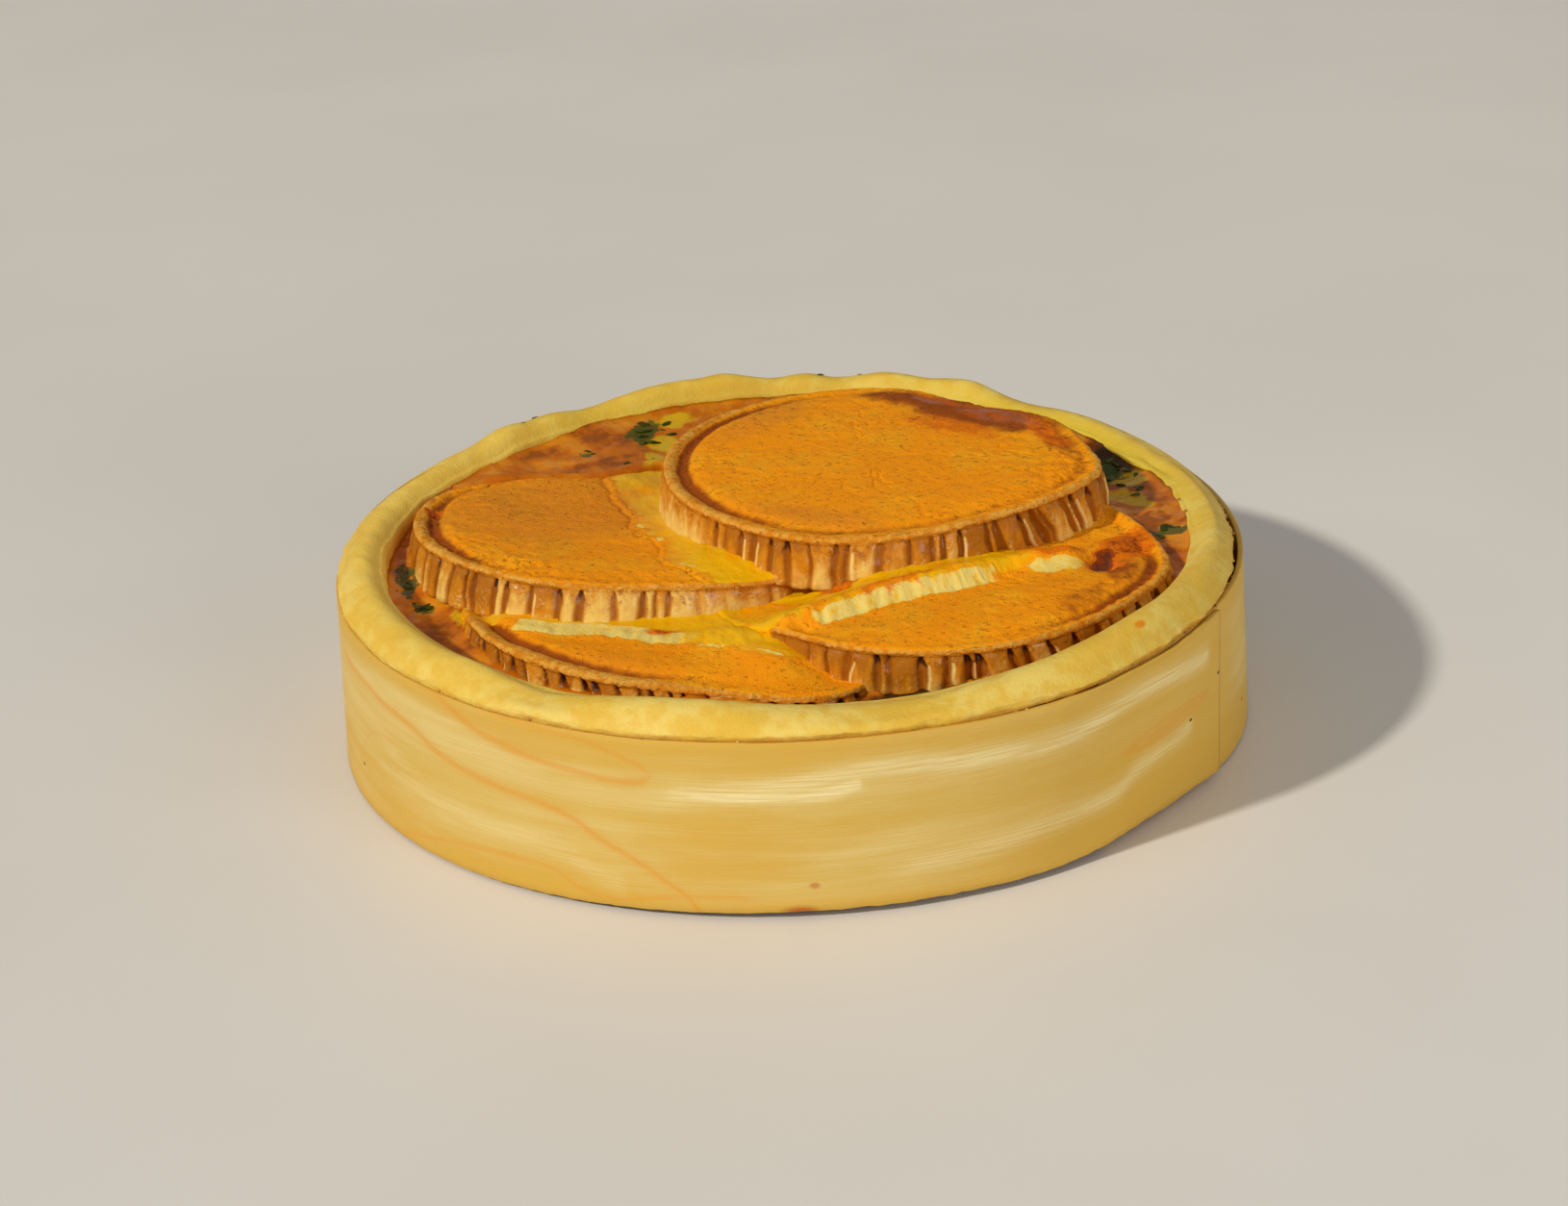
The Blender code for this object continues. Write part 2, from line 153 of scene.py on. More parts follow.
@dataclass(frozen=True)
class Blotch:
    """A soft-edged patch, placed from the middle of what it lies on."""

    x: float
    y: float
    length: float
    width: float
    turn: float = 0.0
    strength: float = 1.0

    def cover(self, x: Array, y: Array) -> Array:
        """Gives how strongly it covers each place, from 0 to its strength."""
        cosine = math.cos(math.radians(self.turn))
        sine = math.sin(math.radians(self.turn))
        along = (x - self.x) * cosine + (y - self.y) * sine
        across = (y - self.y) * cosine - (x - self.x) * sine
        away = np.hypot(along / self.length, across / self.width)
        return self.strength * ramp(away, 1.5, 0.3)


def patches(*spots: tuple[float, ...]) -> tuple[Blotch, ...]:
    """Gives several patches, each (x, y, length, width, turn, strength)."""
    return tuple(Blotch(*spot) for spot in spots)


def covered(blotches: tuple[Blotch, ...], x: Array, y: Array) -> Array:
    """Gives the strongest cover of several blotches at each place, with ragged edges."""
    ragged = 1.1 * grain(flat(x, y), 2.6, 41, 3)
    total = np.zeros(np.shape(x))
    for blotch in blotches:
        total = np.maximum(total, blotch.cover(x + ragged, y - ragged))
    return total


@dataclass
class Skin:
    """One closed surface over rows of points. Rows times columns point out of the body."""

    points: Array
    values: dict[str, Array] = field(default_factory=dict)
    ring_rows: bool = False

    def faces(self, start: int) -> list[list[int]]:
        """Gives its faces.

        Args:
            start: Number of its first vertex in the mesh.

        Returns:
            Each face as vertex numbers, with caps where the grid is open.
        """
        rows, columns = self.points.shape[:2]
        number = start + np.arange(rows * columns).reshape(rows, columns)
        if self.ring_rows:
            number = np.vstack([number, number[:1]])
            ends = [number[-2::-1, 0].tolist(), number[:-1, -1].tolist()]
        else:
            number = np.hstack([number, number[:, :1]])
            ends = []
            last = start + rows * columns
            for i in range(columns):
                ends.append([last, int(number[0, i]), int(number[0, i + 1])])
                ends.append([last + 1, int(number[-1, i + 1]), int(number[-1, i])])
        quads = np.stack([number[:-1, :-1], number[1:, :-1], number[1:, 1:], number[:-1, 1:]], axis=-1)
        return quads.reshape(-1, 4).tolist() + ends

    def flattened(self, grid: Array) -> Array:
        """Gives a grid's values in vertex order, with the middles of the two caps last."""
        listed = grid.reshape(-1, *grid.shape[2:])
        if self.ring_rows:
            return listed
        return np.concatenate([listed, grid[0].mean(0)[None], grid[-1].mean(0)[None]])


def assembled(name: str, skins: list[Skin], finish: bpy.types.Material) -> bpy.types.Object:
    """Makes one object of one or more skins.

    Args:
        name: The object's name.
        skins: What it is made of. All carry the same values.
        finish: Its material.

    Returns:
        The object, smooth, in the scene's collection.
    """
    places = []
    faces: list[list[int]] = []
    count = 0
    for skin in skins:
        listed = skin.flattened(skin.points)
        faces += skin.faces(count)
        places.append(listed)
        count += len(listed)
    mesh = bpy.data.meshes.new(name)
    mesh.from_pydata((np.concatenate(places) * MM).tolist(), [], faces)
    for key in skins[0].values:
        grids = [np.broadcast_to(skin.values[key], skin.points.shape[:2]) for skin in skins]
        numbers = np.concatenate([skin.flattened(grid) for skin, grid in zip(skins, grids)])
        layer = mesh.attributes.new(key, "FLOAT", "POINT")
        layer.data.foreach_set("value", numbers.astype(np.float32))
    mesh.shade_smooth()
    mesh.materials.append(finish)
    obj = bpy.data.objects.new(name, mesh)
    bpy.context.scene.collection.objects.link(obj)
    return obj


class Wire:
    """A shader socket that carries a number and takes part in Python expressions."""

    def __init__(self, tree: bpy.types.NodeTree, socket: bpy.types.NodeSocket) -> None:
        """Wraps an output socket of a tree."""
        self.tree = tree
        self.socket = socket

    def joined(self, operation: str, first: Wire | float, second: Wire | float) -> Wire:
        """Adds a Math node.

        Args:
            operation: The node's operation.
            first: What goes into its first socket.
            second: What goes into its second socket.

        Returns:
            The result.
        """
        node = self.tree.nodes.new("ShaderNodeMath")
        node.operation = operation
        plug(self.tree, node.inputs[0], first)
        plug(self.tree, node.inputs[1], second)
        return Wire(self.tree, node.outputs[0])

    def __add__(self, other: Wire | float) -> Wire:
        """Adds a number or a wire."""
        return self.joined("ADD", self, other)

    def __sub__(self, other: Wire | float) -> Wire:
        """Takes a number or a wire away."""
        return self.joined("SUBTRACT", self, other)

    def __rsub__(self, other: float) -> Wire:
        """Takes the wire away from a number."""
        return self.joined("SUBTRACT", other, self)

    def __mul__(self, other: Wire | float) -> Wire:
        """Multiplies with a number or a wire."""
        return self.joined("MULTIPLY", self, other)

    def __truediv__(self, other: Wire | float) -> Wire:
        """Divides by a number or a wire."""
        return self.joined("DIVIDE", self, other)

    def __or__(self, other: Wire | float) -> Wire:
        """Takes the larger of two masks."""
        return self.joined("MAXIMUM", self, other)

    __radd__ = __add__
    __rmul__ = __mul__

    def size(self) -> Wire:
        """Drops the sign."""
        return self.joined("ABSOLUTE", self, 0.0)

    def between(self, low: float, high: float) -> Wire:
        """Gives a mask that rises smoothly from 0 at low to 1 at high, or falls if low is larger."""
        node = self.tree.nodes.new("ShaderNodeMapRange")
        node.interpolation_type = "SMOOTHSTEP"
        plug(self.tree, node.inputs["Value"], self)
        ends = (high, low, 1.0, 0.0) if low > high else (low, high, 0.0, 1.0)
        for label, number in zip(("From Min", "From Max", "To Min", "To Max"), ends):
            node.inputs[label].default_value = number
        return Wire(self.tree, node.outputs[0])


def plug(tree: bpy.types.NodeTree, socket: bpy.types.NodeSocket, value: object) -> None:
    """Links a wire into a socket, or sets the socket to a number, a colour or a vector."""
    if isinstance(value, Wire):
        tree.links.new(value.socket, socket)
    elif isinstance(value, tuple) and socket.type == "RGBA":
        socket.default_value = (*value, 1.0)
    else:
        socket.default_value = value


class Bench:
    """Where one material is put together, round a Principled shader."""

    def __init__(self, name: str) -> None:
        """Starts a material of that name."""
        self.material = bpy.data.materials.new(name)
        self.material.use_nodes = True
        self.tree = self.material.node_tree
        self.shader = self.tree.nodes["Principled BSDF"]
        self.place = self.node("ShaderNodeTexCoord", {}, {}, "Object")

    def node(
        self, kind: str, settings: dict[str, object], values: dict[str | int, object], output: str | int = 0
    ) -> Wire:
        """Adds any node.

        Args:
            kind: The node's type.
            settings: What is set on the node first. Points shape a Float Curve's line.
            values: What its sockets hold or are linked to, by name or number.
            output: The socket that is handed on.

        Returns:
            That output.
        """
        node = self.tree.nodes.new(kind)
        for key, value in settings.items():
            if key == "points":
                curve = node.mapping.curves[0]
                for spot in value[1:-1]:
                    curve.points.new(*spot)
                curve.points[0].location = value[0]
                curve.points[-1].location = value[-1]
                node.mapping.update()
            else:
                setattr(node, key, value)
        for key, value in values.items():
            plug(self.tree, node.inputs[key], value)
        return Wire(self.tree, node.outputs[output])

    def value(self, name: str) -> Wire:
        """Gives one of the mesh's own values."""
        return self.node("ShaderNodeAttribute", {"attribute_name": name}, {}, "Fac")

    def vector(self, operation: str, first: Wire, second: Wire | Triple) -> Wire:
        """Adds a Vector Math node of that operation."""
        return self.node("ShaderNodeVectorMath", {"operation": operation}, {0: first, 1: second})

    def point(self, x: Wire, y: Wire, z: Wire | float = 0.0) -> Wire:
        """Puts three numbers together."""
        return self.node("ShaderNodeCombineXYZ", {}, {0: x, 1: y, 2: z})

    def stretched(self, stretch: Triple, where: Wire | None = None) -> Wire:
        """Gives the place, scaled along X, Y and Z."""
        return self.vector("MULTIPLY", where or self.place, stretch)

    def noise(self, size: float, detail: float = 3.0, where: Wire | None = None) -> Wire:
        """Gives noise from 0 to 1, with lumps of that size in millimetres."""
        values = {"Vector": where or self.place, "Scale": 1.0 / (size * MM), "Detail": detail}
        return self.node("ShaderNodeTexNoise", {}, values, "Fac")

    def cells(self, size: float, feature: str, where: Wire) -> Wire:
        """Gives the distance in a field of cells of that size in millimetres."""
        values = {"Vector": where, "Scale": 1.0 / (size * MM)}
        return self.node("ShaderNodeTexVoronoi", {"feature": feature}, values, "Distance")

    def mix(self, mask: Wire | float, low: Wire | Colour, high: Wire | Colour) -> Wire:
        """Gives the low colour where the mask is 0 and the high one where it is 1."""
        return self.node("ShaderNodeMix", {"data_type": "RGBA"}, {0: mask, 6: low, 7: high}, 2)

    def line(self, where: Wire, points: list[tuple[float, float]]) -> Wire:
        """Gives the height of a smooth line drawn over a wire that runs from 0 to 1."""
        return self.node("ShaderNodeFloatCurve", {"points": points}, {"Value": where})

    def layered(self, colour: Wire | Colour, *layers: tuple[Wire | float, Wire | Colour]) -> Wire:
        """Lays colours over the first one, each (mask, colour) over those before it."""
        for mask, over in layers:
            colour = self.mix(mask, colour, over)
        return colour

    def bump(self, height: Wire, depth: float) -> Wire:
        """Gives a surface tilt from relief between 0 and 1 and its depth in millimetres."""
        values = {"Height": height, "Distance": depth * MM, "Strength": 1.0}
        return self.node("ShaderNodeBump", {}, values, "Normal")

    def done(self, colour: Wire | Colour, rough: Wire | float, **others: object) -> bpy.types.Material:
        """Feeds the shader.

        Args:
            colour: Its base colour.
            rough: Its roughness.
            **others: Other sockets by name, with _ for a space.

        Returns:
            The finished material.
        """
        plug(self.tree, self.shader.inputs["Base Color"], colour)
        plug(self.tree, self.shader.inputs["Roughness"], rough)
        for key, value in others.items():
            plug(self.tree, self.shader.inputs[key.replace("_", " ")], value)
        return self.material


SOFT_FOOD = {"Subsurface_Weight": 0.10, "Subsurface_Scale": 2.0 * MM}


@dataclass(frozen=True)
class CheeseFinish:
    """Goat cheese baked until its top is orange: paste, ridged rind, melt, tears and burns."""

    paste: Colour = (0.99, 0.325, 0.002)
    paste_pale: Colour = (0.98, 0.42, 0.008)
    paste_deep: Colour = (0.78, 0.165, 0.001)
    tan: Colour = (0.80, 0.262, 0.012)
    cream: Colour = (0.82, 0.56, 0.14)
    # painted highlight colour, for the glints and pale edge strips on the rind
    painted_highlight: Colour = (0.86, 0.66, 0.25)
    caramel: Colour = (0.62, 0.235, 0.010)
    valley: Colour = (0.31, 0.085, 0.003)
    char: Colour = (0.075, 0.018, 0.003)
    lip: Colour = (0.66, 0.225, 0.007)
    lip_pale: Colour = (0.80, 0.40, 0.060)
    melt: Colour = (0.88, 0.46, 0.001)
    melt_deep: Colour = (0.90, 0.34, 0.001)
    torn: Colour = (0.82, 0.635, 0.17)
    plum: Colour = (0.27, 0.042, 0.003)
    syrup: Colour = (0.42, 0.085, 0.003)

    def rind(self, bench: Bench, middle: Wire, fine: Wire) -> Wire:
        """Colours the rind, with painted glints and painted edge highlights.

        Args:
            bench: Where the material is made.
            middle: Noise of the size of a panel.
            fine: Finer noise.

        Returns:
            Its colour.
        """
        rise = bench.value("rise")
        groove = bench.value("groove")
        streak = bench.noise(1.4, 4.0, bench.stretched((1.0, 1.0, 0.3)))
        tone = 0.85 * rise + 0.85 * bench.value("tone") + 1.1 * (streak - 0.5) + 0.6 * (middle - 0.5)
        lip = bench.mix((0.5 * streak + 0.5 * middle).between(0.38, 0.62), self.lip, self.lip_pale)
        return bench.layered(
            self.cream,
            ((tone - 0.14).between(0.30, 0.95), self.caramel),
            ((groove + 0.12 * (middle - 0.5)).between(0.03, 0.30) * 0.75, self.caramel),
            ((0.6 * fine + 0.6 * middle + 0.22 * rise).between(0.78, 0.92) * 0.65, self.valley),
            # painted glints: small whitish specks over the rind
            ((0.7 * fine + 0.5 * streak - 0.1 * rise).between(0.62, 0.72) * 0.5, self.painted_highlight),
            (tone.between(1.0, 1.5) * 0.6, self.valley),
            # painted highlight: a pale strip along one edge of some panels
            ((bench.value("pale") + 0.9 * (streak - 0.5)).between(0.35, 0.9) * 0.8, self.painted_highlight),
            ((groove + 0.25 * (fine - 0.5)).between(0.10, 0.62) * 0.9, self.valley),
            ((bench.value("char") + 0.5 * (fine - 0.5)).between(0.25, 0.75), self.char),
            # painted contact shade: the foot of the rind darkened where it meets what lies below
            ((rise + 0.3 * (middle - 0.5)).between(0.12, 0.0) * 0.6, self.valley),
            ((rise + 0.16 * (fine - 0.5)).between(0.94, 0.985), lip),
        )

    def made(self) -> bpy.types.Material:
        """Gives the material."""
        bench = Bench("baked_goat_cheese")
        broad = bench.noise(10, 4.0)
        middle = bench.noise(2.4, 4.0)
        fine = bench.noise(0.7, 3.0)
        dust = bench.noise(0.35, 3.0)
        ragged = middle - 0.5
        flecked = fine - 0.5
        warped = bench.vector("ADD", bench.stretched((0.55, 1.0, 1.0)), fine * (0.9 * MM))
        pits = bench.cells(1.1, "F1", warped)
        cracks = bench.cells(1.9, "DISTANCE_TO_EDGE", warped)
        split = cracks.between(0.06, 0.0) * (0.6 * broad + 0.8 * middle).between(0.78, 0.92)
        rind = bench.value("rind")
        colour = bench.layered(
            self.paste,
            ((broad + 0.4 * middle).between(0.62, 0.90) * 0.7, self.paste_pale),
            ((bench.value("tan") + 0.5 * (broad - 0.5)).between(0.2, 0.9) * 0.8, self.tan),
            ((pits + 0.5 * fine).between(0.47, 0.28) * 0.55, self.paste_deep),
            (dust.between(0.50, 0.70) * 0.24, self.tan),
            (split * 0.6, self.syrup),
            ((bench.value("plum") + 0.6 * ragged).between(0.15, 0.75) * 0.9, self.plum),
            ((rind + 0.3 * flecked).between(0.35, 0.65), self.rind(bench, middle, fine)),
        )

        melted = bench.value("melt")
        melt = (melted + 0.5 * ragged).between(0.22, 0.38)
        hue = (0.4 * melted + 1.3 * (broad - 0.5) + 0.5 * ragged).between(0.05, 0.42)
        pulled = bench.value("torn")
        torn = (pulled + 0.5 * ragged).between(0.38, 0.60)
        strands = bench.noise(1.1, 3.0, bench.stretched((1.0, 0.6, 0.35)))
        syrup = (bench.value("syrup") + 0.6 * ragged).between(0.2, 0.8)
        burnt = bench.value("burn") + 0.5 * ragged + 0.4 * flecked
        colour = bench.layered(
            colour,
            (melt, bench.mix(hue, self.melt_deep, self.melt)),
            (torn, bench.mix((strands + 0.4 * pulled).between(0.55, 0.95), self.melt, self.torn)),
            (syrup * 0.85, self.syrup),
            (burnt.between(0.12, 0.40) * 0.9, self.paste_deep),
            (burnt.between(0.45, 0.75), self.plum),
            (burnt.between(0.75, 1.10), self.char),
        )

        wet_rind = (rind * bench.value("rise").between(0.95, 0.85)).between(0.4, 0.7)
        wet = (melt * (1.0 - torn)) | wet_rind | syrup
        rough = 0.70 - 0.32 * wet + 0.16 * flecked
        grainy = 1.0 - (wet | torn)
        relief = 0.5 * fine + 0.5 * middle + grainy * (0.7 * dust - pits.between(0.32, 0.05) * 0.8 - split)
        coat = wet * (1.0 - 0.65 * melt) * (middle + 0.1).between(0.48, 0.75) * 0.6
        gloss = {"Coat_Weight": coat, "Coat_Roughness": 0.14, "Specular_IOR_Level": 0.10}
        return bench.done(colour, rough, Normal=bench.bump(relief, 0.30), **gloss, **SOFT_FOOD)


@dataclass(frozen=True)
class PastryFinish:
    """Pale golden shortcrust, smoothed by hand, with toasted edges and painted shade under the lip at the
    right.
    """

    dough: Colour = (0.77, 0.52, 0.080)
    dough_pale: Colour = (0.81, 0.60, 0.14)
    gold: Colour = (0.74, 0.44, 0.045)
    green: Colour = (0.70, 0.53, 0.030)
    # painted light: a brighter golden tone that stands in for light bounced onto the inner wall at the left
    buttery: Colour = (0.97, 0.645, 0.100)
    # toasted colour, which also paints the shade under the lip at the right
    toast: Colour = (0.56, 0.25, 0.025)
    spot: Colour = (0.78, 0.27, 0.012)
    foot: Colour = (0.14, 0.030, 0.008)

    def made(self) -> bpy.types.Material:
        """Gives the material."""
        bench = Bench("shortcrust_pastry")
        broad = bench.noise(11, 4.0)
        middle = bench.noise(3.0, 4.0)
        fine = bench.noise(0.6, 3.0)
        ragged = middle - 0.5
        flecked = fine - 0.5
        # toasted edges, and painted shade under the lip at the right
        toast = (bench.value("toast") + 0.7 * ragged + 0.3 * flecked).between(0.30, 0.95)
        colour = bench.layered(
            self.dough,
            (broad.between(0.38, 0.64), self.dough_pale),
            ((middle + 0.4 * broad).between(0.82, 0.60) * 0.6, self.gold),
            (bench.value("green") * (0.2 + middle), self.green),
            # painted bounce light on the inner wall of the rim at the left
            (bench.value("buttery") * (0.75 + 0.4 * ragged), self.buttery),
            (toast, self.toast),
            ((bench.value("spot") + 0.3 * ragged).between(0.4, 0.7), self.spot),
            ((bench.value("foot") + 0.4 * flecked).between(0.3, 0.7), self.foot),
        )
        rough = 0.52 + 0.25 * flecked + 0.2 * toast
        normal = bench.bump(0.6 * fine + 0.8 * middle, 0.22)
        return bench.done(colour, rough, Normal=normal, Specular_IOR_Level=0.15, **SOFT_FOOD)


@dataclass(frozen=True)
class CustardFinish:
    """Egg custard baked to a glossy brown skin, with yellow and green where it didn't brown."""

    brown: Colour = (0.56, 0.140, 0.001)
    amber: Colour = (0.74, 0.26, 0.002)
    dark: Colour = (0.27, 0.066, 0.003)
    # painted shadow: near-black for the shaded pockets between the rounds and the wall
    painted_shadow: Colour = (0.055, 0.020, 0.003)
    yellow: Colour = (0.68, 0.40, 0.003)
    green: Colour = (0.045, 0.075, 0.004)

    def made(self) -> bpy.types.Material:
        """Gives the material."""
        bench = Bench("baked_custard")
        broad = bench.noise(9, 5.0)
        middle = bench.noise(2.6, 4.0)
        fine = bench.noise(0.7, 3.0)
        ragged = middle - 0.5
        flecked = fine - 0.5
        dark = bench.value("dark")
        colour = bench.layered(
            self.brown,
            ((broad + 0.2 * middle).between(0.55, 0.75), self.amber),
            # darker brown custard in broad random patches, deepened where the dark patches lie
            ((0.5 * middle + broad - 0.22 * dark).between(0.68, 0.52) * 0.85, self.dark),
            # painted shadow where the dark patches are strongest
            ((dark + 0.5 * ragged).between(0.8, 1.4), self.painted_shadow),
            ((bench.value("yellow") + 0.8 * ragged).between(0.35, 0.75), self.yellow),
            ((bench.value("green") + 1.3 * ragged + 0.5 * flecked).between(0.40, 0.62) * 0.9, self.green),
        )
        rough = 0.40 + 0.25 * flecked + 0.3 * (broad - 0.5)
        coat = (broad + middle).between(0.95, 1.20) * 0.5
        gloss = {"Coat_Weight": coat, "Coat_Roughness": 0.12, "Specular_IOR_Level": 0.15}
        normal = bench.bump(0.25 * fine + middle, 0.30)
        return bench.done(colour, rough, Normal=normal, **gloss, **SOFT_FOOD)


@dataclass(frozen=True)
class SpinachFinish:
    """Cooked spinach, dark and wet."""

    leaf: Colour = (0.022, 0.040, 0.003)
    leaf_pale: Colour = (0.10, 0.13, 0.006)

    def made(self) -> bpy.types.Material:
        """Gives the material."""
        bench = Bench("cooked_spinach")
        middle = bench.noise(1.8, 4.0)
        colour = bench.mix(middle.between(0.45, 0.70), self.leaf, self.leaf_pale)
        normal = bench.bump(bench.noise(0.5, 3.0), 0.15)
        return bench.done(colour, 0.35 + 0.3 * middle, Normal=normal, Specular_IOR_Level=0.2)


@dataclass(frozen=True)
class CrumbFinish:
    """Toasted crumbs of pastry."""

    pale: Colour = (0.72, 0.42, 0.10)
    dark: Colour = (0.40, 0.17, 0.025)

    def made(self) -> bpy.types.Material:
        """Gives the material."""
        bench = Bench("toasted_crumbs")
        tone = bench.noise(4, 2.0)
        colour = bench.mix(tone.between(0.42, 0.60), self.pale, self.dark)
        normal = bench.bump(bench.noise(0.4, 2.0), 0.1)
        return bench.done(colour, 0.65, Normal=normal)


@dataclass(frozen=True)
class FigureLine:
    """One line of the wood's figure, drawn through (arc from the front, height).

    Attributes:
        points: Where it runs.
        width: Half the width of its core.
        soft: Half the width of its soft edge.
        strength: How strong it is, less than 0 for a pale streak.
    """

    points: Spots
    width: float
    soft: float
    strength: float


class Figure(Enum):
    """The lines that run along the veneer: thin orange growth lines and wide pale streaks."""

    LONG = FigureLine(
        (
            (-130, 27.5), (-103, 26), (-83, 24.5), (-67, 20.6), (-48, 18.3), (-34, 12.8), (-20, 4.0),
            (-14, -1),
        ),
        0.45, 2.2, 0.60,
    )
    LOOP_LOW = FigureLine(
        ((-78, 34), (-58, 28.2), (-42, 25.6), (-30, 24.9), (-25.6, 26.2), (-24.4, 28)), 0.45, 2.3, 0.60
    )
    LOOP_HIGH = FigureLine(
        ((-70, 34), (-49, 32.4), (-39, 31.7), (-33, 30.4), (-27.5, 28.2), (-24.4, 26.5)), 0.30, 1.3, 0.50
    )
    LOW = FigureLine(
        ((-90, 0.5), (-79, 2.6), (-61, 5.7), (-48, 6.3), (-42, 4.3), (-36, 2.4), (-22, 3.9), (-8, 4.2)),
        0.30, 1.4, 0.40,
    )
    CURL = FigureLine(((-112, 3), (-103, 8), (-98, 14.5), (-92, 17.5), (-84, 18)), 0.3, 1.6, 0.25)
    STREAK_HIGH = FigureLine(
        ((-30, 22.5), (-8, 24.3), (15, 27.0), (31, 25.7), (46, 25.2), (66, 28.0), (90, 26.5)),
        1.7, 4.6, -0.75,
    )
    STREAK_BRIGHT = FigureLine(
        ((-27, 22.4), (-18, 23.0), (-8, 23.0), (2, 22.8), (12, 24.5)), 1.4, 3.0, -0.9
    )
    STREAK_LOW = FigureLine(
        ((10, 7.5), (33, 9.1), (50, 10.5), (58, 10.8), (66, 13.4), (84, 15)), 1.5, 4.4, -0.65
    )
    STREAK_LEFT = FigureLine(
        ((-118, 21), (-95, 19), (-76, 13), (-60, 11), (-44, 10), (-30, 5)), 1.5, 5.0, -0.45
    )


@dataclass(frozen=True)
class VeneerFinish:
    """Poplar veneer: fine fibres, pale and golden streaks, thin orange growth lines."""

    straw: Colour = (0.66, 0.45, 0.110)
    pale: Colour = (0.74, 0.58, 0.23)
    bright: Colour = (0.86, 0.73, 0.38)
    gold: Colour = (0.64, 0.375, 0.045)
    orange: Colour = (0.70, 0.30, 0.026)
    sap: Colour = (0.50, 0.13, 0.012)
    speck: Colour = (0.07, 0.025, 0.010)
    figure_start: float = -150.0
    figure_length: float = 300.0
    figure_height: float = 48.0
    figure_low: float = -4.0

    def line(self, bench: Bench, line: FigureLine, along: Wire, up: Wire, wobble: Wire) -> Wire:
        """Draws one line of the figure.

        Args:
            bench: Where the material is made.
            line: Where it runs.
            along: The arc from the front, in millimetres.
            up: The height, in millimetres.
            wobble: Noise that bends the line a little.

        Returns:
            Its mask.
        """
        first, last = line.points[0][0], line.points[-1][0]
        start, low = self.figure_start, self.figure_low
        spots = [((x - start) / self.figure_length, (y - low) / self.figure_height) for x, y in line.points]
        spots = [(0.0, spots[0][1]), *spots, (1.0, spots[-1][1])]
        height = bench.line((along - start) / self.figure_length, spots) * self.figure_height + low
        off = (up - height + 1.6 * (wobble - 0.5)).size()
        shown = along.between(first, first + 10.0) * along.between(last, last - 2.5)
        core = off.between(line.width * 2.2, line.width * 0.3) * 0.6
        return (core + off.between(line.soft, 0.0) * 0.4) * shown * abs(line.strength)

    def spot(self, bench: Bench, along: Wire, up: Wire, place: tuple[float, float, float, float]) -> Wire:
        """Gives the distance from a place (along, up, length, width), 1 where an ellipse there ends."""
        x, y, length, width = place
        vector = bench.point((along - x) / length, (up - y) / width)
        return bench.node("ShaderNodeVectorMath", {"operation": "LENGTH"}, {0: vector}, "Value")

    def made(self) -> bpy.types.Material:
        """Gives the material."""
        bench = Bench("poplar_veneer")
        along, figure, up, depth = (bench.value(name) for name in ("along", "figure", "up", "depth"))
        where = bench.point(along, up, depth)
        stretches = (
            (0.012, 0.20, 0.3), (0.07, 3.6, 4.0), (0.20, 11.0, 9.0), (0.022, 0.075, 0.1), (0.06, 0.12, 0.1),
        )
        # These places are in millimetres already, so the noise is not scaled again.
        streak, fibre, hair, cloud, wobble = (
            bench.noise(1.0 / MM, 4.0, bench.stretched(stretch, where)) for stretch in stretches
        )
        growth: Wire | float = 0.0
        light: Wire | float = 0.0
        for line in Figure:
            mask = self.line(bench, line.value, figure, up, wobble)
            if line.value.strength > 0.0:
                growth = mask | growth
            else:
                light = mask | light
        lens = self.spot(bench, figure, up - 0.05 * (figure - 75.0), (75.0, 18.4, 12.5, 1.7))
        growth = growth | (lens - 0.95).size().between(0.30, 0.02) * 0.5
        growth = growth | lens.between(1.05, 0.5) * fibre.between(0.40, 0.62) * 0.75
        sap = self.spot(bench, figure, up, (-1.0, 1.2, 3.6, 1.4)).between(1.3, 0.3)
        sap = sap | self.spot(bench, figure, up, (1.6, 6.2, 1.1, 0.7)).between(1.2, 0.4) * 0.6
        specks: Wire | float = 0.0
        for x, y in ((82.0, 16.2), (111.0, 7.7), (93.0, 21.0), (-101.0, 8.0)):
            specks = self.spot(bench, figure, up, (x, y, 0.55, 0.3)).between(1.2, 0.6) | specks
        streaked = bench.mix(light.between(0.4, 0.9), self.pale, self.bright)
        colour = bench.layered(
            self.straw,
            ((streak + 0.2 * fibre).between(0.45, 0.85) * 0.75, self.pale),
            ((cloud + 0.3 * streak).between(0.75, 0.52) * 0.7, self.gold),
            (up.between(28.5, 33.0) * 0.6 | up.between(9.0, 0.0) * 0.85, self.gold),
            (figure.between(5, 60) * figure.between(112, 96) * 0.75, self.gold),
            (fibre.between(0.60, 0.35) * 0.22, self.gold),
            (hair.between(0.55, 0.75) * 0.22, self.pale),
            (light * (0.30 + 0.75 * fibre.between(0.36, 0.60)), streaked),
            (growth * (0.75 + 0.4 * fibre), self.orange),
            (sap * (0.5 + fibre), self.sap),
            (specks, self.speck),
        )
        rough = 0.55 + 0.25 * (fibre - 0.5)
        normal = bench.bump(0.6 * fibre + 0.4 * hair, 0.09)
        return bench.done(colour, rough, Normal=normal, Specular_IOR_Level=0.3)


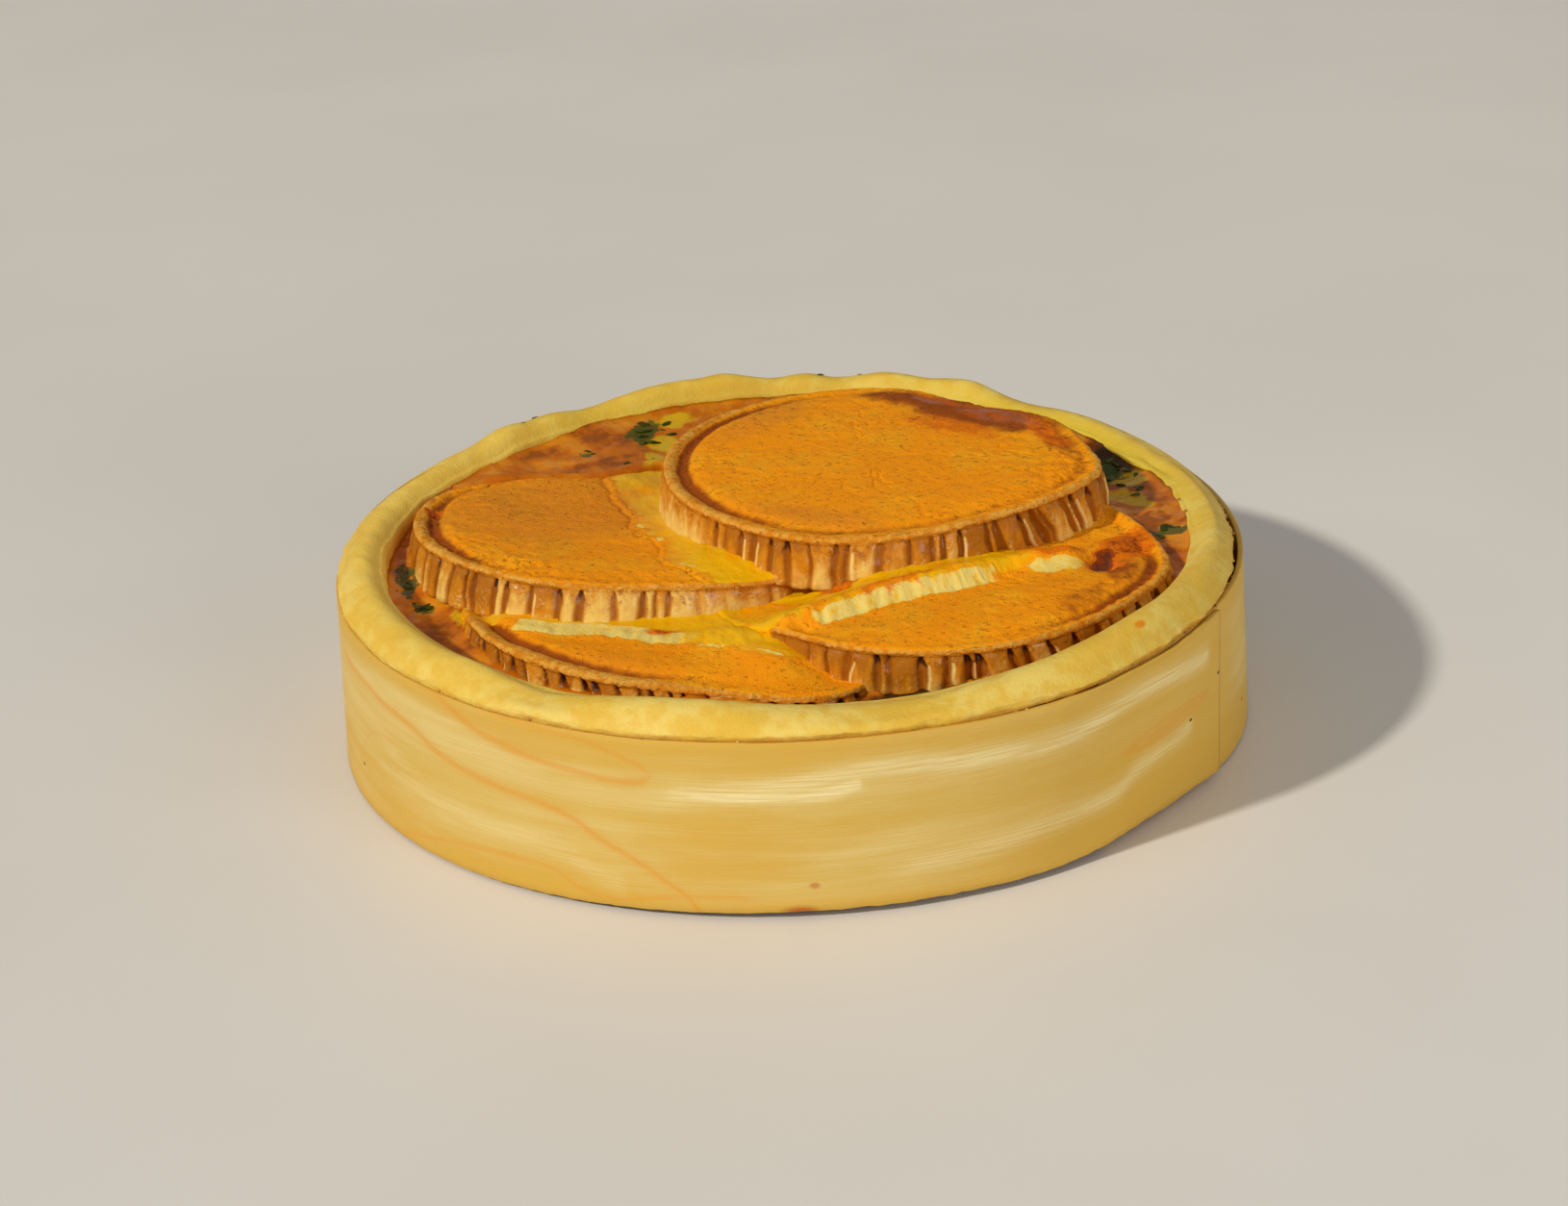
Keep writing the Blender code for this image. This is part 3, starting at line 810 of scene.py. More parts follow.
@dataclass
class VeneerBand:
    """The strip of veneer, bent once round and lapped over its own start at the right."""

    radius: float = 85.0
    thickness: float = 1.0
    top: float = 33.1
    end: float = -26.8
    lap: float = 25.0
    columns: int = 800
    outer_rows: int = 22

    def outside(self, along: Array, up: Array) -> Array:
        """Gives the outer face's radius at degrees along the spiral and a share of the height."""
        start = self.end - self.lap
        pressed = 0.6 * ramp(along, self.end + 10.0, self.end - 5.0)
        step = 0.8 * ramp(along, start + 336.0, start + 360.0)
        tuck = 2.2 * turn_bell(along, -40.0, 11.0)
        return self.radius - pressed + step + (0.9 - tuck) * (1.0 - up)

    def bottom(self, along: Array) -> Array:
        """Gives the height of the lower edge, which stands clear of the table at the front."""
        wave = 0.1 * np.sin(np.radians(3.0 * along + 40.0))
        front = turn_bell(along, -80.0, 30.0)
        lifted = 1.5 * bell(along - (self.end + 348.0), 11.0)
        return 0.3 + wave + front + lifted

    def upper(self, angle: Array) -> Array:
        """Gives the height of the upper edge."""
        wave = 0.1 * (1.0 + np.sin(np.radians(2.0 * angle)))
        return self.top - wave - 0.8 * turn_bell(angle, -60.0, 14.0)

    def inside(self, angle: Array, height: Array) -> Array:
        """Gives the radius of the room inside the band at an angle and a height."""
        start = self.end - self.lap - 5.0
        along = start + (angle - start) % 360.0
        return self.outside(along, np.clip(height / self.top, 0.0, 1.0)) - self.thickness

    def section(self) -> tuple[Array, Array]:
        """Gives the strip's cross-section as shares of its height and of its thickness."""
        corner = 0.012 * np.array([0.0, 0.12, 0.35])
        edge = np.linspace(0.0, 1.0, self.outer_rows + 1)[1:-1]
        up = np.concatenate([1.0 - corner, 1.0 - edge, corner[::-1]])
        side = np.concatenate([[0.30, 0.08, 0.0], np.zeros(len(edge)), [0.0, 0.08, 0.30]])
        return np.concatenate([up, up[::-1]]), np.concatenate([side, 1.0 - side[::-1]])

    def build(self, finish: bpy.types.Material) -> bpy.types.Object:
        """Builds the band.

        Args:
            finish: Its veneer.

        Returns:
            The band, as one closed strip.
        """
        start = self.end - self.lap
        along = np.linspace(start, start + 360.0 + self.lap, self.columns)[None, :]
        up, across = (part[:, None] for part in self.section())
        arc = np.radians(along + 90.0) * self.radius
        edge_noise = flat(arc, 0.0, 3.0)
        low = self.bottom(along) + 0.10 * grain(edge_noise, 1.5, 3, 3)
        high = self.upper(along) + 0.07 * grain(edge_noise, 4.0, 4, 3)
        height = low * (1.0 - up) + high * up
        bend = 0.12 * (grain(flat(arc, height * 0.3), 14, 5, 2) - 0.8)
        radius = self.outside(along, up) - across * self.thickness + bend
        girth = 2.0 * math.pi * self.radius
        figure = girth / 4.0 - np.abs((arc + girth / 4.0) % girth - girth / 2.0)
        values = {"along": arc, "up": height, "depth": across * self.thickness, "figure": figure}
        skin = Skin(around(radius, along, height), values, ring_rows=True)
        return assembled("veneer_band", [skin], finish)


@dataclass
class PastryShell:
    """The shortcrust shell: floor and wall, and a thumb-smoothed rim that swells over the band."""

    band: VeneerBand
    crest: float = 37.7
    rim_foot: float = 34.5
    lip: float = 84.8
    inside: float = 75.0
    columns: int = 760
    gap: float = 0.02
    lumps: Bells = (
        (134, 3, 1.4), (126, 3, 1.1), (108, 5, 2.1), (98, 4, 2.4), (86, 3, 1.6), (74, 4, 2.0), (62, 4, 1.9),
        (53, 4, -0.9), (24, 16, -1.6), (-40, 8, 0.8), (-75, 9, -2.1), (-104, 7, 0.6), (-123, 5, -2.0),
    )

    def profile(self) -> Array:
        """Gives the section from the middle of the floor, up and over the rim, to the foot."""
        crest = self.crest
        top = self.band.top
        knots = (
            (0.4, 5.0, 2), (60.0, 5.0, 2), (71.5, 5.2, 2),
            (73.8, 8.0, 4), (self.inside, 28.0, 18), (75.4, 34.8, 7),
            (76.6, crest - 1.4, 5), (78.2, crest - 0.3, 5), (79.8, crest, 5),
            (81.6, crest - 0.4, 5), (83.4, crest - 1.6, 5), (84.5, crest - 3.0, 5),
            (self.lip, top + 1.1, 4), (self.lip - 0.3, top + self.gap, 4),
            (83.2, top + self.gap, 2), (83.2, top - 0.8, 5), (83.2, 4.5, 4),
            (82.4, 1.5, 4), (80.0, 0.0, 3), (0.4, 0.0, 0),
        )
        spots = np.array([knot[:2] for knot in knots])
        padded = np.vstack([spots[:1], spots, spots[-1:]])
        rows = []
        for i, (_, _, count) in enumerate(knots[:-1]):
            before, here, after, beyond = padded[i : i + 4]
            share = np.linspace(0.0, 1.0, count, endpoint=False)[:, None]
            straight = here + (after - here) * share
            bend = 2 * before - 5 * here + 4 * after - beyond
            twist = 3 * here - before - 3 * after + beyond
            round_path = here + 0.5 * ((after - before) * share + bend * share**2 + twist * share**3)
            on_rim = here[1] > 30 and here[0] > 75.2 and i < 12
            rows.append(round_path if on_rim else straight)
        return np.vstack([*rows, spots[-1:]])

    def build(self, finish: bpy.types.Material) -> bpy.types.Object:
        """Builds the shell.

        Args:
            finish: Its pastry.

        Returns:
            The shell, as one closed body.
        """
        profile = self.profile()
        tangent = np.gradient(profile, axis=0)
        tangent /= np.linalg.norm(tangent, axis=1)[:, None]
        angle = (np.arange(self.columns) * 360.0 / self.columns)[None, :]
        own_radius = profile[:, :1] + 0 * angle
        own_height = profile[:, 1:] + 0 * angle
        share = ramp(own_height, self.rim_foot, self.crest)
        side = ramp(own_radius, 78.5, 83.2)
        outer = (side > 0.9) & (own_height > self.band.top / 2)
        height = own_height + share * (self.crest_height(angle) - self.crest)
        height += outer * (self.band.upper(angle) - self.band.top) * (1.0 - share)
        radius = own_radius - 2.1 * turn_bell(angle, 5.0, 17.0) * side * ramp(own_height, 4, 12)

        place = around(own_radius, angle, height)
        rough_edge = bell(own_height - 34.0, 0.8) * (own_radius > 83.8)
        relief = 0.42 * grain(place, 13, 21, 2) + 0.16 * grain(place, 4.2, 22, 2)
        relief += rough_edge * 0.34 * grain(place, 1.8, 23, 3) - self.fold(angle, own_radius, own_height)
        relief *= ramp(own_height, 29, 33.6)
        radius = np.minimum(radius + relief * tangent[:, 1:], 85.6)
        height += relief * tangent[:, :1]
        resting = outer & (np.abs(own_height - self.band.top) < 0.1)
        height = np.where(resting, self.band.upper(angle) + self.gap, height)
        room = self.band.inside(angle, height) - 0.15
        radius = np.where(own_radius < 83.3, np.minimum(radius, room), radius)
        values = self.values(angle, own_radius, own_height, place)
        return assembled("pastry_shell", [Skin(around(radius, angle, height), values)], finish)

    def crest_height(self, angle: Array | float) -> Array | float:
        """Gives the height of the rim's crest at an angle in degrees."""
        return self.crest + bells(self.lumps, angle)

    def fold(self, angle: Array, radius: Array, height: Array) -> Array:
        """Gives the depth of the folds that were pressed into the rim.

        Args:
            angle: Degrees round the rim.
            radius: Radius on the plain shell.
            height: Height on the plain shell.

        Returns:
            How far the skin sinks in.
        """
        line = 80.6 + (angle - 148.0) / 18.0 * 3.4
        left = 1.3 * bell(radius - line, 0.42) * ramp(angle, 146, 151) * ramp(angle, 170, 163)
        crack = 0.7 * bell(height - 34.7, 0.30) * turn_bell(angle, -50.0, 5.5) * (radius > 83)
        right = 0.8 * bell(radius - 77.6, 0.5) * turn_bell(angle, 20.0, 3.0)
        return left + crack + right

    def values(self, angle: Array, radius: Array, height: Array, place: Array) -> dict[str, Array]:
        """Gives what the finish needs to know at each point."""
        ragged = grain(place, 5, 31, 3)
        outer = radius > 83.0
        high = height > 30
        # toast along the lip's lower edge, strongest at the right and the front; at the right it also paints
        # the shade under the lip
        share = 0.38 + 0.45 * turn_bell(angle, -5.0, 40.0) + 0.35 * turn_bell(angle, -90.0, 30.0)
        toast = outer * ramp(height + 0.35 * ragged, 34.8, 33.5) * share
        # painted shade: a darker band on the lip's lower edge over the gap at the right
        toast = np.maximum(toast, 0.5 * outer * turn_bell(angle, 0.0, 24.0) * bell(height - 34.6, 1.0))
        stained = (radius < 77.5) * high * ramp(height, 36.6, 34.0) * (0.55 + 0.45 * ragged)
        back = turn_bell(angle, 40.0, 26.0) + 0.5 * turn_bell(angle, 118.0, 14.0)
        return {
            "toast": np.maximum(toast, 0.55 * stained),
            "green": back * ramp(radius, 81.0, 76.5) * high,
            # painted bounce light: the inner wall of the rim, on the left side only
            "buttery": turn_bell(angle, 178.0, 34.0) * ramp(radius, 83.0, 79.5) * high,
            "spot": 0.8 * turn_bell(angle, -42.3, 1.1) * bell(radius - 81.8, 0.7) * (height > 34),
            "foot": ramp(height, 4.2, 2.2) * (radius > 40),
        }


class Mark(Enum):
    """What the oven did to the cheese, each a value that the finish reads."""

    MELT = "melt"
    TORN = "torn"
    BURN = "burn"
    PLUM = "plum"
    SYRUP = "syrup"
    TAN = "tan"


@dataclass(frozen=True)
class Rind:
    """How a round's ridged rind is laid out: panels, and wet valleys that start below its lip."""

    seed: int
    panels: int = 62
    ripe: float = 0.0
    curtain: tuple[float, float] = (0.0, 0.0)
    melted: tuple[float, float] = (0.0, 0.0)
    browned: tuple[float, float] = (0.0, 0.0)

    def laid(self, angle: Array, drop: Array, edge: float, height: float) -> dict[str, Array]:
        """Lays it out.

        Args:
            angle: Degrees round the log.
            drop: Depth below the brim.
            edge: The log's radius.
            height: The rind's height.

        Returns:
            What the finish reads, and how far the rind is cut in.
        """
        draw = np.random.default_rng(self.seed)
        widths = draw.uniform(0.75, 1.3, self.panels) * np.where(draw.random(self.panels) < 0.16, 0.45, 1.0)
        bounds = np.concatenate([[0.0], np.cumsum(widths) / widths.sum() * 360.0])
        tone = draw.uniform(-0.1, 1.0, self.panels) + self.ripe
        tilt = draw.uniform(-0.26, 0.26, self.panels)
        lift = draw.uniform(-0.22, 0.22, self.panels)
        depth = draw.uniform(0.35, 0.85, self.panels)
        half = draw.uniform(0.34, 0.68, self.panels)
        dark = draw.random(self.panels) ** 0.8
        lit = draw.random(self.panels) < 0.28

        surface = flat(np.radians(angle) * edge, drop)
        deep = self.near(angle, self.curtain)
        slant = 0.35 * deep * drop / edge * 180.0 / math.pi
        spot = (angle - slant + 0.8 * grain(surface, 5, self.seed + 5, 2)) % 360.0
        own = np.clip(np.searchsorted(bounds, spot, side="right") - 1, 0, self.panels - 1)
        left = (spot - bounds[own]) * edge * math.pi / 180.0
        right = (bounds[own + 1] - spot) * edge * math.pi / 180.0
        near = np.where(left < right, own, (own + 1) % self.panels)
        off = np.minimum(left, right)
        smooth = 1.0 - 0.85 * self.near(angle, self.melted)

        start = 0.45 + 0.8 * np.minimum(off / half[near], 1.4) ** 2
        groove = bell(off, half[near]) * ramp(drop - start, 0.0, 0.8)
        groove *= (1.0 - 0.35 * ramp(drop, 5, 9)) * smooth
        below = ramp(drop, 0.4, 1.6) * smooth
        cut = depth[near] * groove * (1.0 + 1.2 * deep)
        cut -= below * 0.22 * np.clip(4.0 * left * right / (left + right) ** 2, 0.0, 1.0)
        cut -= below * (lift[own] + tilt[own] * (left - right) / (left + right))
        cut -= 0.30 * bell(drop - 0.55 * height, 0.22 * height) * smooth
        cut += 0.14 * bell(drop - 1.3, 0.5)
        cut += 0.10 * grain(surface, 2.0, self.seed + 6, 2) * below
        arch = bell(off, half[near] * 1.15) * bell(drop - start - 1.0, 0.9)
        # painted highlight: a pale strip beside one groove of the panels drawn as lit, handed on as pale
        painted_edge_highlight = bell(off - half[near] - 0.5, 0.28) * ramp(drop, 1.6, 2.8)
        return {
            "cut": cut,
            "groove": groove * np.clip(0.45 + 0.55 * dark[near] + 0.5 * deep, 0.0, 1.0),
            "char": arch * ramp(dark[near] + 0.4 * deep, 0.3, 0.9) * smooth,
            "tone": tone[own] * smooth + 0.2 * (1.0 - smooth) + 0.6 * self.near(angle, self.browned),
            "pale": painted_edge_highlight * (lit[own] & (left < right)) * smooth,
        }

    def near(self, angle: Array, place: tuple[float, float]) -> Array:
        """Gives a bell round a place, or nothing where its spread is 0."""
        return turn_bell(angle, place[0], place[1]) if place[1] else 0.0 * angle


@dataclass
class CheeseRound:
    """One slice of a ridged log of goat cheese, in its own frame until it is placed.

    Attributes:
        fall: How far it slopes down along X and along Y, for each millimetre.
        outline: Bumps of its edge, as bells round it.
        tear: Where the torn paste starts and ends, its rise and the fall behind it.
        furrow: How deep the furrow inside the lip is, as bells round it.
        melt_edge: The line beyond which its paste has melted.
        above: The rounds that lie on it.
    """

    name: str
    centre: Triple
    radius: float
    height: float
    fall: tuple[float, float]
    outline: Bells
    rind: Rind
    tear: tuple[tuple[float, float], tuple[float, float], float, float] | None = None
    bow: float = 0.0
    torn_width: float = 3.4
    torn_end: float = 0.70
    swells: Swells = ()
    droop: Swells = ()
    furrow: Bells = ()
    lip_wide: float = 1.0
    crumbly: tuple[float, float] = (0.0, 0.0)
    marks: dict[Mark, tuple[Blotch, ...]] = field(default_factory=dict)
    melt_edge: Spots = ()
    above: list[CheeseRound] = field(default_factory=list)
    columns: int = 660
    skirt: float = 1.1
    tear_dip: float = 1.0
    wall_limit: float = 74.9

    @property
    def seed(self) -> int:
        """Which noise it gets."""
        return self.rind.seed

    def outline_share(self, angle: Array) -> Array:
        """Gives the outline's distance from the centre as a share of the plain radius."""
        return 1.0 + bells(self.outline, angle) / self.radius

    def inside(self, x: Array, y: Array) -> Array:
        """Gives how far world places lie inside the outline, less than 0 outside."""
        away_x = x - self.centre[0]
        away_y = y - self.centre[1]
        angle = np.degrees(np.arctan2(away_y, away_x))
        return self.radius * self.outline_share(angle) - np.hypot(away_x, away_y)

    def underside(self, x: Array, y: Array) -> Array:
        """Gives the height of its underside over world places."""
        drop = self.fall[0] * (x - self.centre[0]) + self.fall[1] * (y - self.centre[1])
        return self.centre[2] - self.height - drop

    def behind_tear(self, x: Array, y: Array) -> tuple[Array, Array]:
        """Measures from the tear's line.

        Args:
            x: Places on the round.
            y: Places on the round.

        Returns:
            The share of its length along it, and the distance behind it.
        """
        (x0, y0), (x1, y1) = self.tear[:2]
        run_x, run_y = x1 - x0, y1 - y0
        length = math.hypot(run_x, run_y)
        away_x, away_y = x - x0, y - y0
        along = (run_x * away_x + run_y * away_y) / length**2
        behind = (run_x * away_y - run_y * away_x) / length
        bowed = self.bow * (1.0 - (2.0 * np.clip(along, 0.0, 1.0) - 1.0) ** 2)
        return along, behind - bowed + grain(flat(x, y), 8, self.seed, 3)

    def tear_height(self, x: Array, y: Array) -> Array:
        """Gives the step in the top along the tear."""
        if self.tear is None:
            return np.zeros_like(x)
        along, behind = self.behind_tear(x, y)
        rise, fall = self.tear[2], self.tear[3]
        ridge = (self.tear_dip + rise * ramp(along, 1.0, 0.5)) * ramp(behind, 0.3, 4.3)
        back = fall * ramp(behind, 4.9, 9.3)
        face = bell(behind - 2.4, 1.6) * ramp(along, 0.9, 0.7)
        strands = grain(flat(along * 60, behind * 0.25), 1.5, self.seed + 3, 3)
        return ridge - back - self.tear_dip * ramp(behind, -12, 0.0) + face * 0.42 * strands

    def melt_side(self, x: Array, y: Array) -> Array:
        """Gives how far places lie beyond the line where the paste has melted."""
        spots = np.array(sorted((y, x) for x, y in self.melt_edge))
        return x - np.interp(y, spots[:, 0], spots[:, 1]) + 1.5 * grain(flat(x, y), 5, self.seed + 9, 3)

    def build(self, finish: bpy.types.Material) -> bpy.types.Object:
        """Builds the round.

        Args:
            finish: Its cheese.

        Returns:
            The round, as one closed body that gives way to the rounds above it.
        """
        edge = self.radius
        deep = self.height
        top_rows = np.concatenate([np.linspace(0.4, edge - 8, 52), np.linspace(edge - 7.6, edge, 24)])
        wall_rows = 1.0 - np.linspace(0.0, 1.0, 25)[1:] ** 1.15
        foot_rows = np.array([edge - 0.2, 0.6 * edge, 0.4])
        count = (len(top_rows), len(wall_rows), len(foot_rows))
        kind = np.repeat([0, 1, 2], count)[:, None]
        own = np.concatenate([top_rows, np.full(count[1], edge), foot_rows])[:, None]
        up = np.concatenate([np.ones(count[0]), wall_rows, np.zeros(count[2])])[:, None]
        angle = (np.arange(self.columns) * 360.0 / self.columns)[None, :]
        turn = np.radians(angle)

        ridges = self.rind.laid(angle + 0 * up, (1.0 - up) * deep + 0 * angle, edge, deep)
        radius = own + (kind == 1) * (self.skirt * (1.0 - up) ** 1.3 - ridges["cut"])
        brim_noise = grain(flat(turn * edge, own), 1.2, self.seed + 12, 3) * bell(up - 1.0, 0.06)
        radius = radius + 0.12 * brim_noise * bell(own - edge, 1)
        reach = 1.0 + (self.outline_share(angle) - 1.0) * ramp(own, 0.0, edge)
        x = radius * reach * np.cos(turn)
        y = radius * reach * np.sin(turn)
        brim_x = edge * reach * np.cos(turn)
        brim_y = edge * reach * np.sin(turn)
        brim = self.top_height(np.full_like(own, edge), angle, brim_x, brim_y)
        brim = brim - 0.35 * (ridges["groove"].max(axis=0) * bell(up - 1.0, 0.05))
        height = np.where(kind == 0, self.top_height(own, angle, x, y), -deep)
        height = np.where(kind == 1, brim * up - (deep - 0.3) * (1.0 - up), height)

        world = self.giving_way(self.placed(x, y, height), kind)
        return assembled(self.name, [Skin(world, self.values(kind, up, own, angle, x, y, ridges))], finish)

    def top_height(self, own: Array, angle: Array, x: Array, y: Array) -> Array:
        """Gives the height of the top over the round's own plane.

        Args:
            own: Radius on the plain slice.
            angle: Degrees round it.
            x: Places on the round.
            y: Places on the round.

        Returns:
            The heights.
        """
        inward = self.radius - own
        knots = np.array([0.0, 0.35, 1.1, 2.0, 4.8, 7.5, 20.0, 45.0])
        levels = np.array([-0.6, -0.2, 0.0, 0.0, 0.1, 0.4, 0.62, 0.70])
        height = np.interp(inward, knots, levels)
        ring = bell(inward - 3.0 - self.lip_extra(angle), 1.0)
        height = height - (0.15 + bells(self.furrow, angle)) * ring
        within = ramp(inward, -0.3, 3.5)
        height = height + within * (self.tear_height(x, y) + swell(self.swells, x, y))
        height += swell(self.droop, x, y)
        rough = 1.0 + 2.2 * self.rind.near(angle, self.crumbly) * bell(inward - 4, 5)
        crumbs = bell(inward - 1.6, 1.6) * 0.08 * grain(flat(x, y), 1.0, self.seed + 4, 3)
        wrinkle = grain(flat(x * 0.55, y * 1.7), 4.5, self.seed + 1, 3)
        cracked = ramp(grain(flat(x, y), 12, self.seed + 6, 1), 0.1, 0.6)
        cracks = bell(grain(flat(x, y), 5.0, self.seed + 2, 3), 0.045) * cracked
        fine = 0.09 * wrinkle + 0.22 * grain(flat(x, y), 9, self.seed + 7, 1)
        fine += rough * (0.11 * grain(flat(x, y), 1.7, self.seed + 8, 2) - 0.26 * cracks)
        patch = covered(self.marks.get(Mark.SYRUP, ()), x, y)
        fine += patch * 0.30 * grain(flat(x + 0.8 * y, (y - 0.8 * x) * 0.4), 3.0, self.seed + 13, 2)
        if self.melt_edge:
            beyond = self.melt_side(x, y)
            fine += ramp(beyond, -1, 2) * 0.45 * grain(flat(x, y), 7, self.seed + 10, 2)
            fine -= 0.35 * bell(beyond, 0.5)
        return height + within * fine + crumbs * rough

    def lip_extra(self, angle: Array) -> Array:
        """Gives how much wider than usual the lip is."""
        return (self.lip_wide - 1.0) * np.clip(bells(self.furrow, angle), 0.0, 1.0)

    def placed(self, x: Array, y: Array, height: Array) -> Array:
        """Sets points on the round where it lies, leaning as it does."""
        lean = Euler((-math.atan(self.fall[1]), math.atan(self.fall[0]), 0.0)).to_matrix()
        world = flat(x, y, height) @ np.array(lean).T + np.array(self.centre)
        reach = np.hypot(world[..., 0], world[..., 1])
        drawn = np.minimum(1.0, self.wall_limit / np.maximum(reach, 1.0))
        world[..., :2] *= drawn[..., None]
        return world

    def giving_way(self, world: Array, kind: Array) -> Array:
        """Sinks the places that other rounds lie on, and lets the paste climb a little at them."""
        for other in self.above:
            deep = other.inside(world[..., 0], world[..., 1])
            under = other.underside(world[..., 0], world[..., 1])
            near = bell(world[..., 2] - under, 2.5) * (kind == 0)
            world[..., 2] += near * 0.5 * bell(deep + 0.3, 0.7)
            allowed = under - 0.3 - 0.6 * (kind == 2) + 60 * ramp(-deep, -1.6, -0.9)
            world[..., 2] = np.minimum(world[..., 2], allowed)
        return world

    def values(
        self, kind: Array, up: Array, own: Array, angle: Array, x: Array, y: Array, ridges: dict[str, Array]
    ) -> dict[str, Array]:
        """Gives what the finish needs to know at each point.

        Args:
            kind: 0 on the top, 1 on the rind and 2 below.
            up: Share of the rind's height.
            own: Radius on the plain slice.
            angle: Degrees round it.
            x: Places on the round.
            y: Places on the round.
            ridges: The rind's layout.

        Returns:
            Values by name.
        """
        inward = self.radius - own + 0 * angle
        furrow = bells(self.furrow, angle)
        wide = self.lip_wide * np.clip(furrow, 0.0, 1.0)
        on_top = (kind == 0) * ramp(inward, 0.05 + wide, 0.55 + 1.5 * wide)
        values = {"rind": 1.0 - on_top, "rise": up + 0 * angle}
        values |= {key: value for key, value in ridges.items() if key != "cut"}
        for mark in Mark:
            values[mark.value] = covered(self.marks.get(mark, ()), x, y) * (kind < 2)
        ring = bell(inward - 3.1 - self.lip_extra(angle), 1.0) * np.clip(0.15 + 0.85 * furrow, 0.0, 1.0)
        values["plum"] = np.maximum(values["plum"], ring * (kind == 0))
        if self.melt_edge:
            molten = ramp(self.melt_side(x, y), -1.0, 7.0) * on_top
            values["melt"] = np.maximum(values["melt"], molten)
        if self.tear is not None:
            along, behind = self.behind_tear(x, y)
            wide = self.torn_width
            face = ramp(behind, -0.1, 0.4) * ramp(behind, wide + 0.5, wide - 0.5)
            spot = along + 0.05 * grain(flat(x, y), 4, self.seed + 14, 3)
            start = ramp(spot, -0.04, 0.04)
            shown = start * ramp(spot, self.torn_end + 0.08, self.torn_end - 0.14)
            values["torn"] = np.maximum(values["torn"], face * on_top * shown)
            molten = ramp(behind, 0.5, 2.4) * start * ramp(spot, 0.93, 0.80)
            values["melt"] = np.maximum(values["melt"], molten * on_top)
        return values


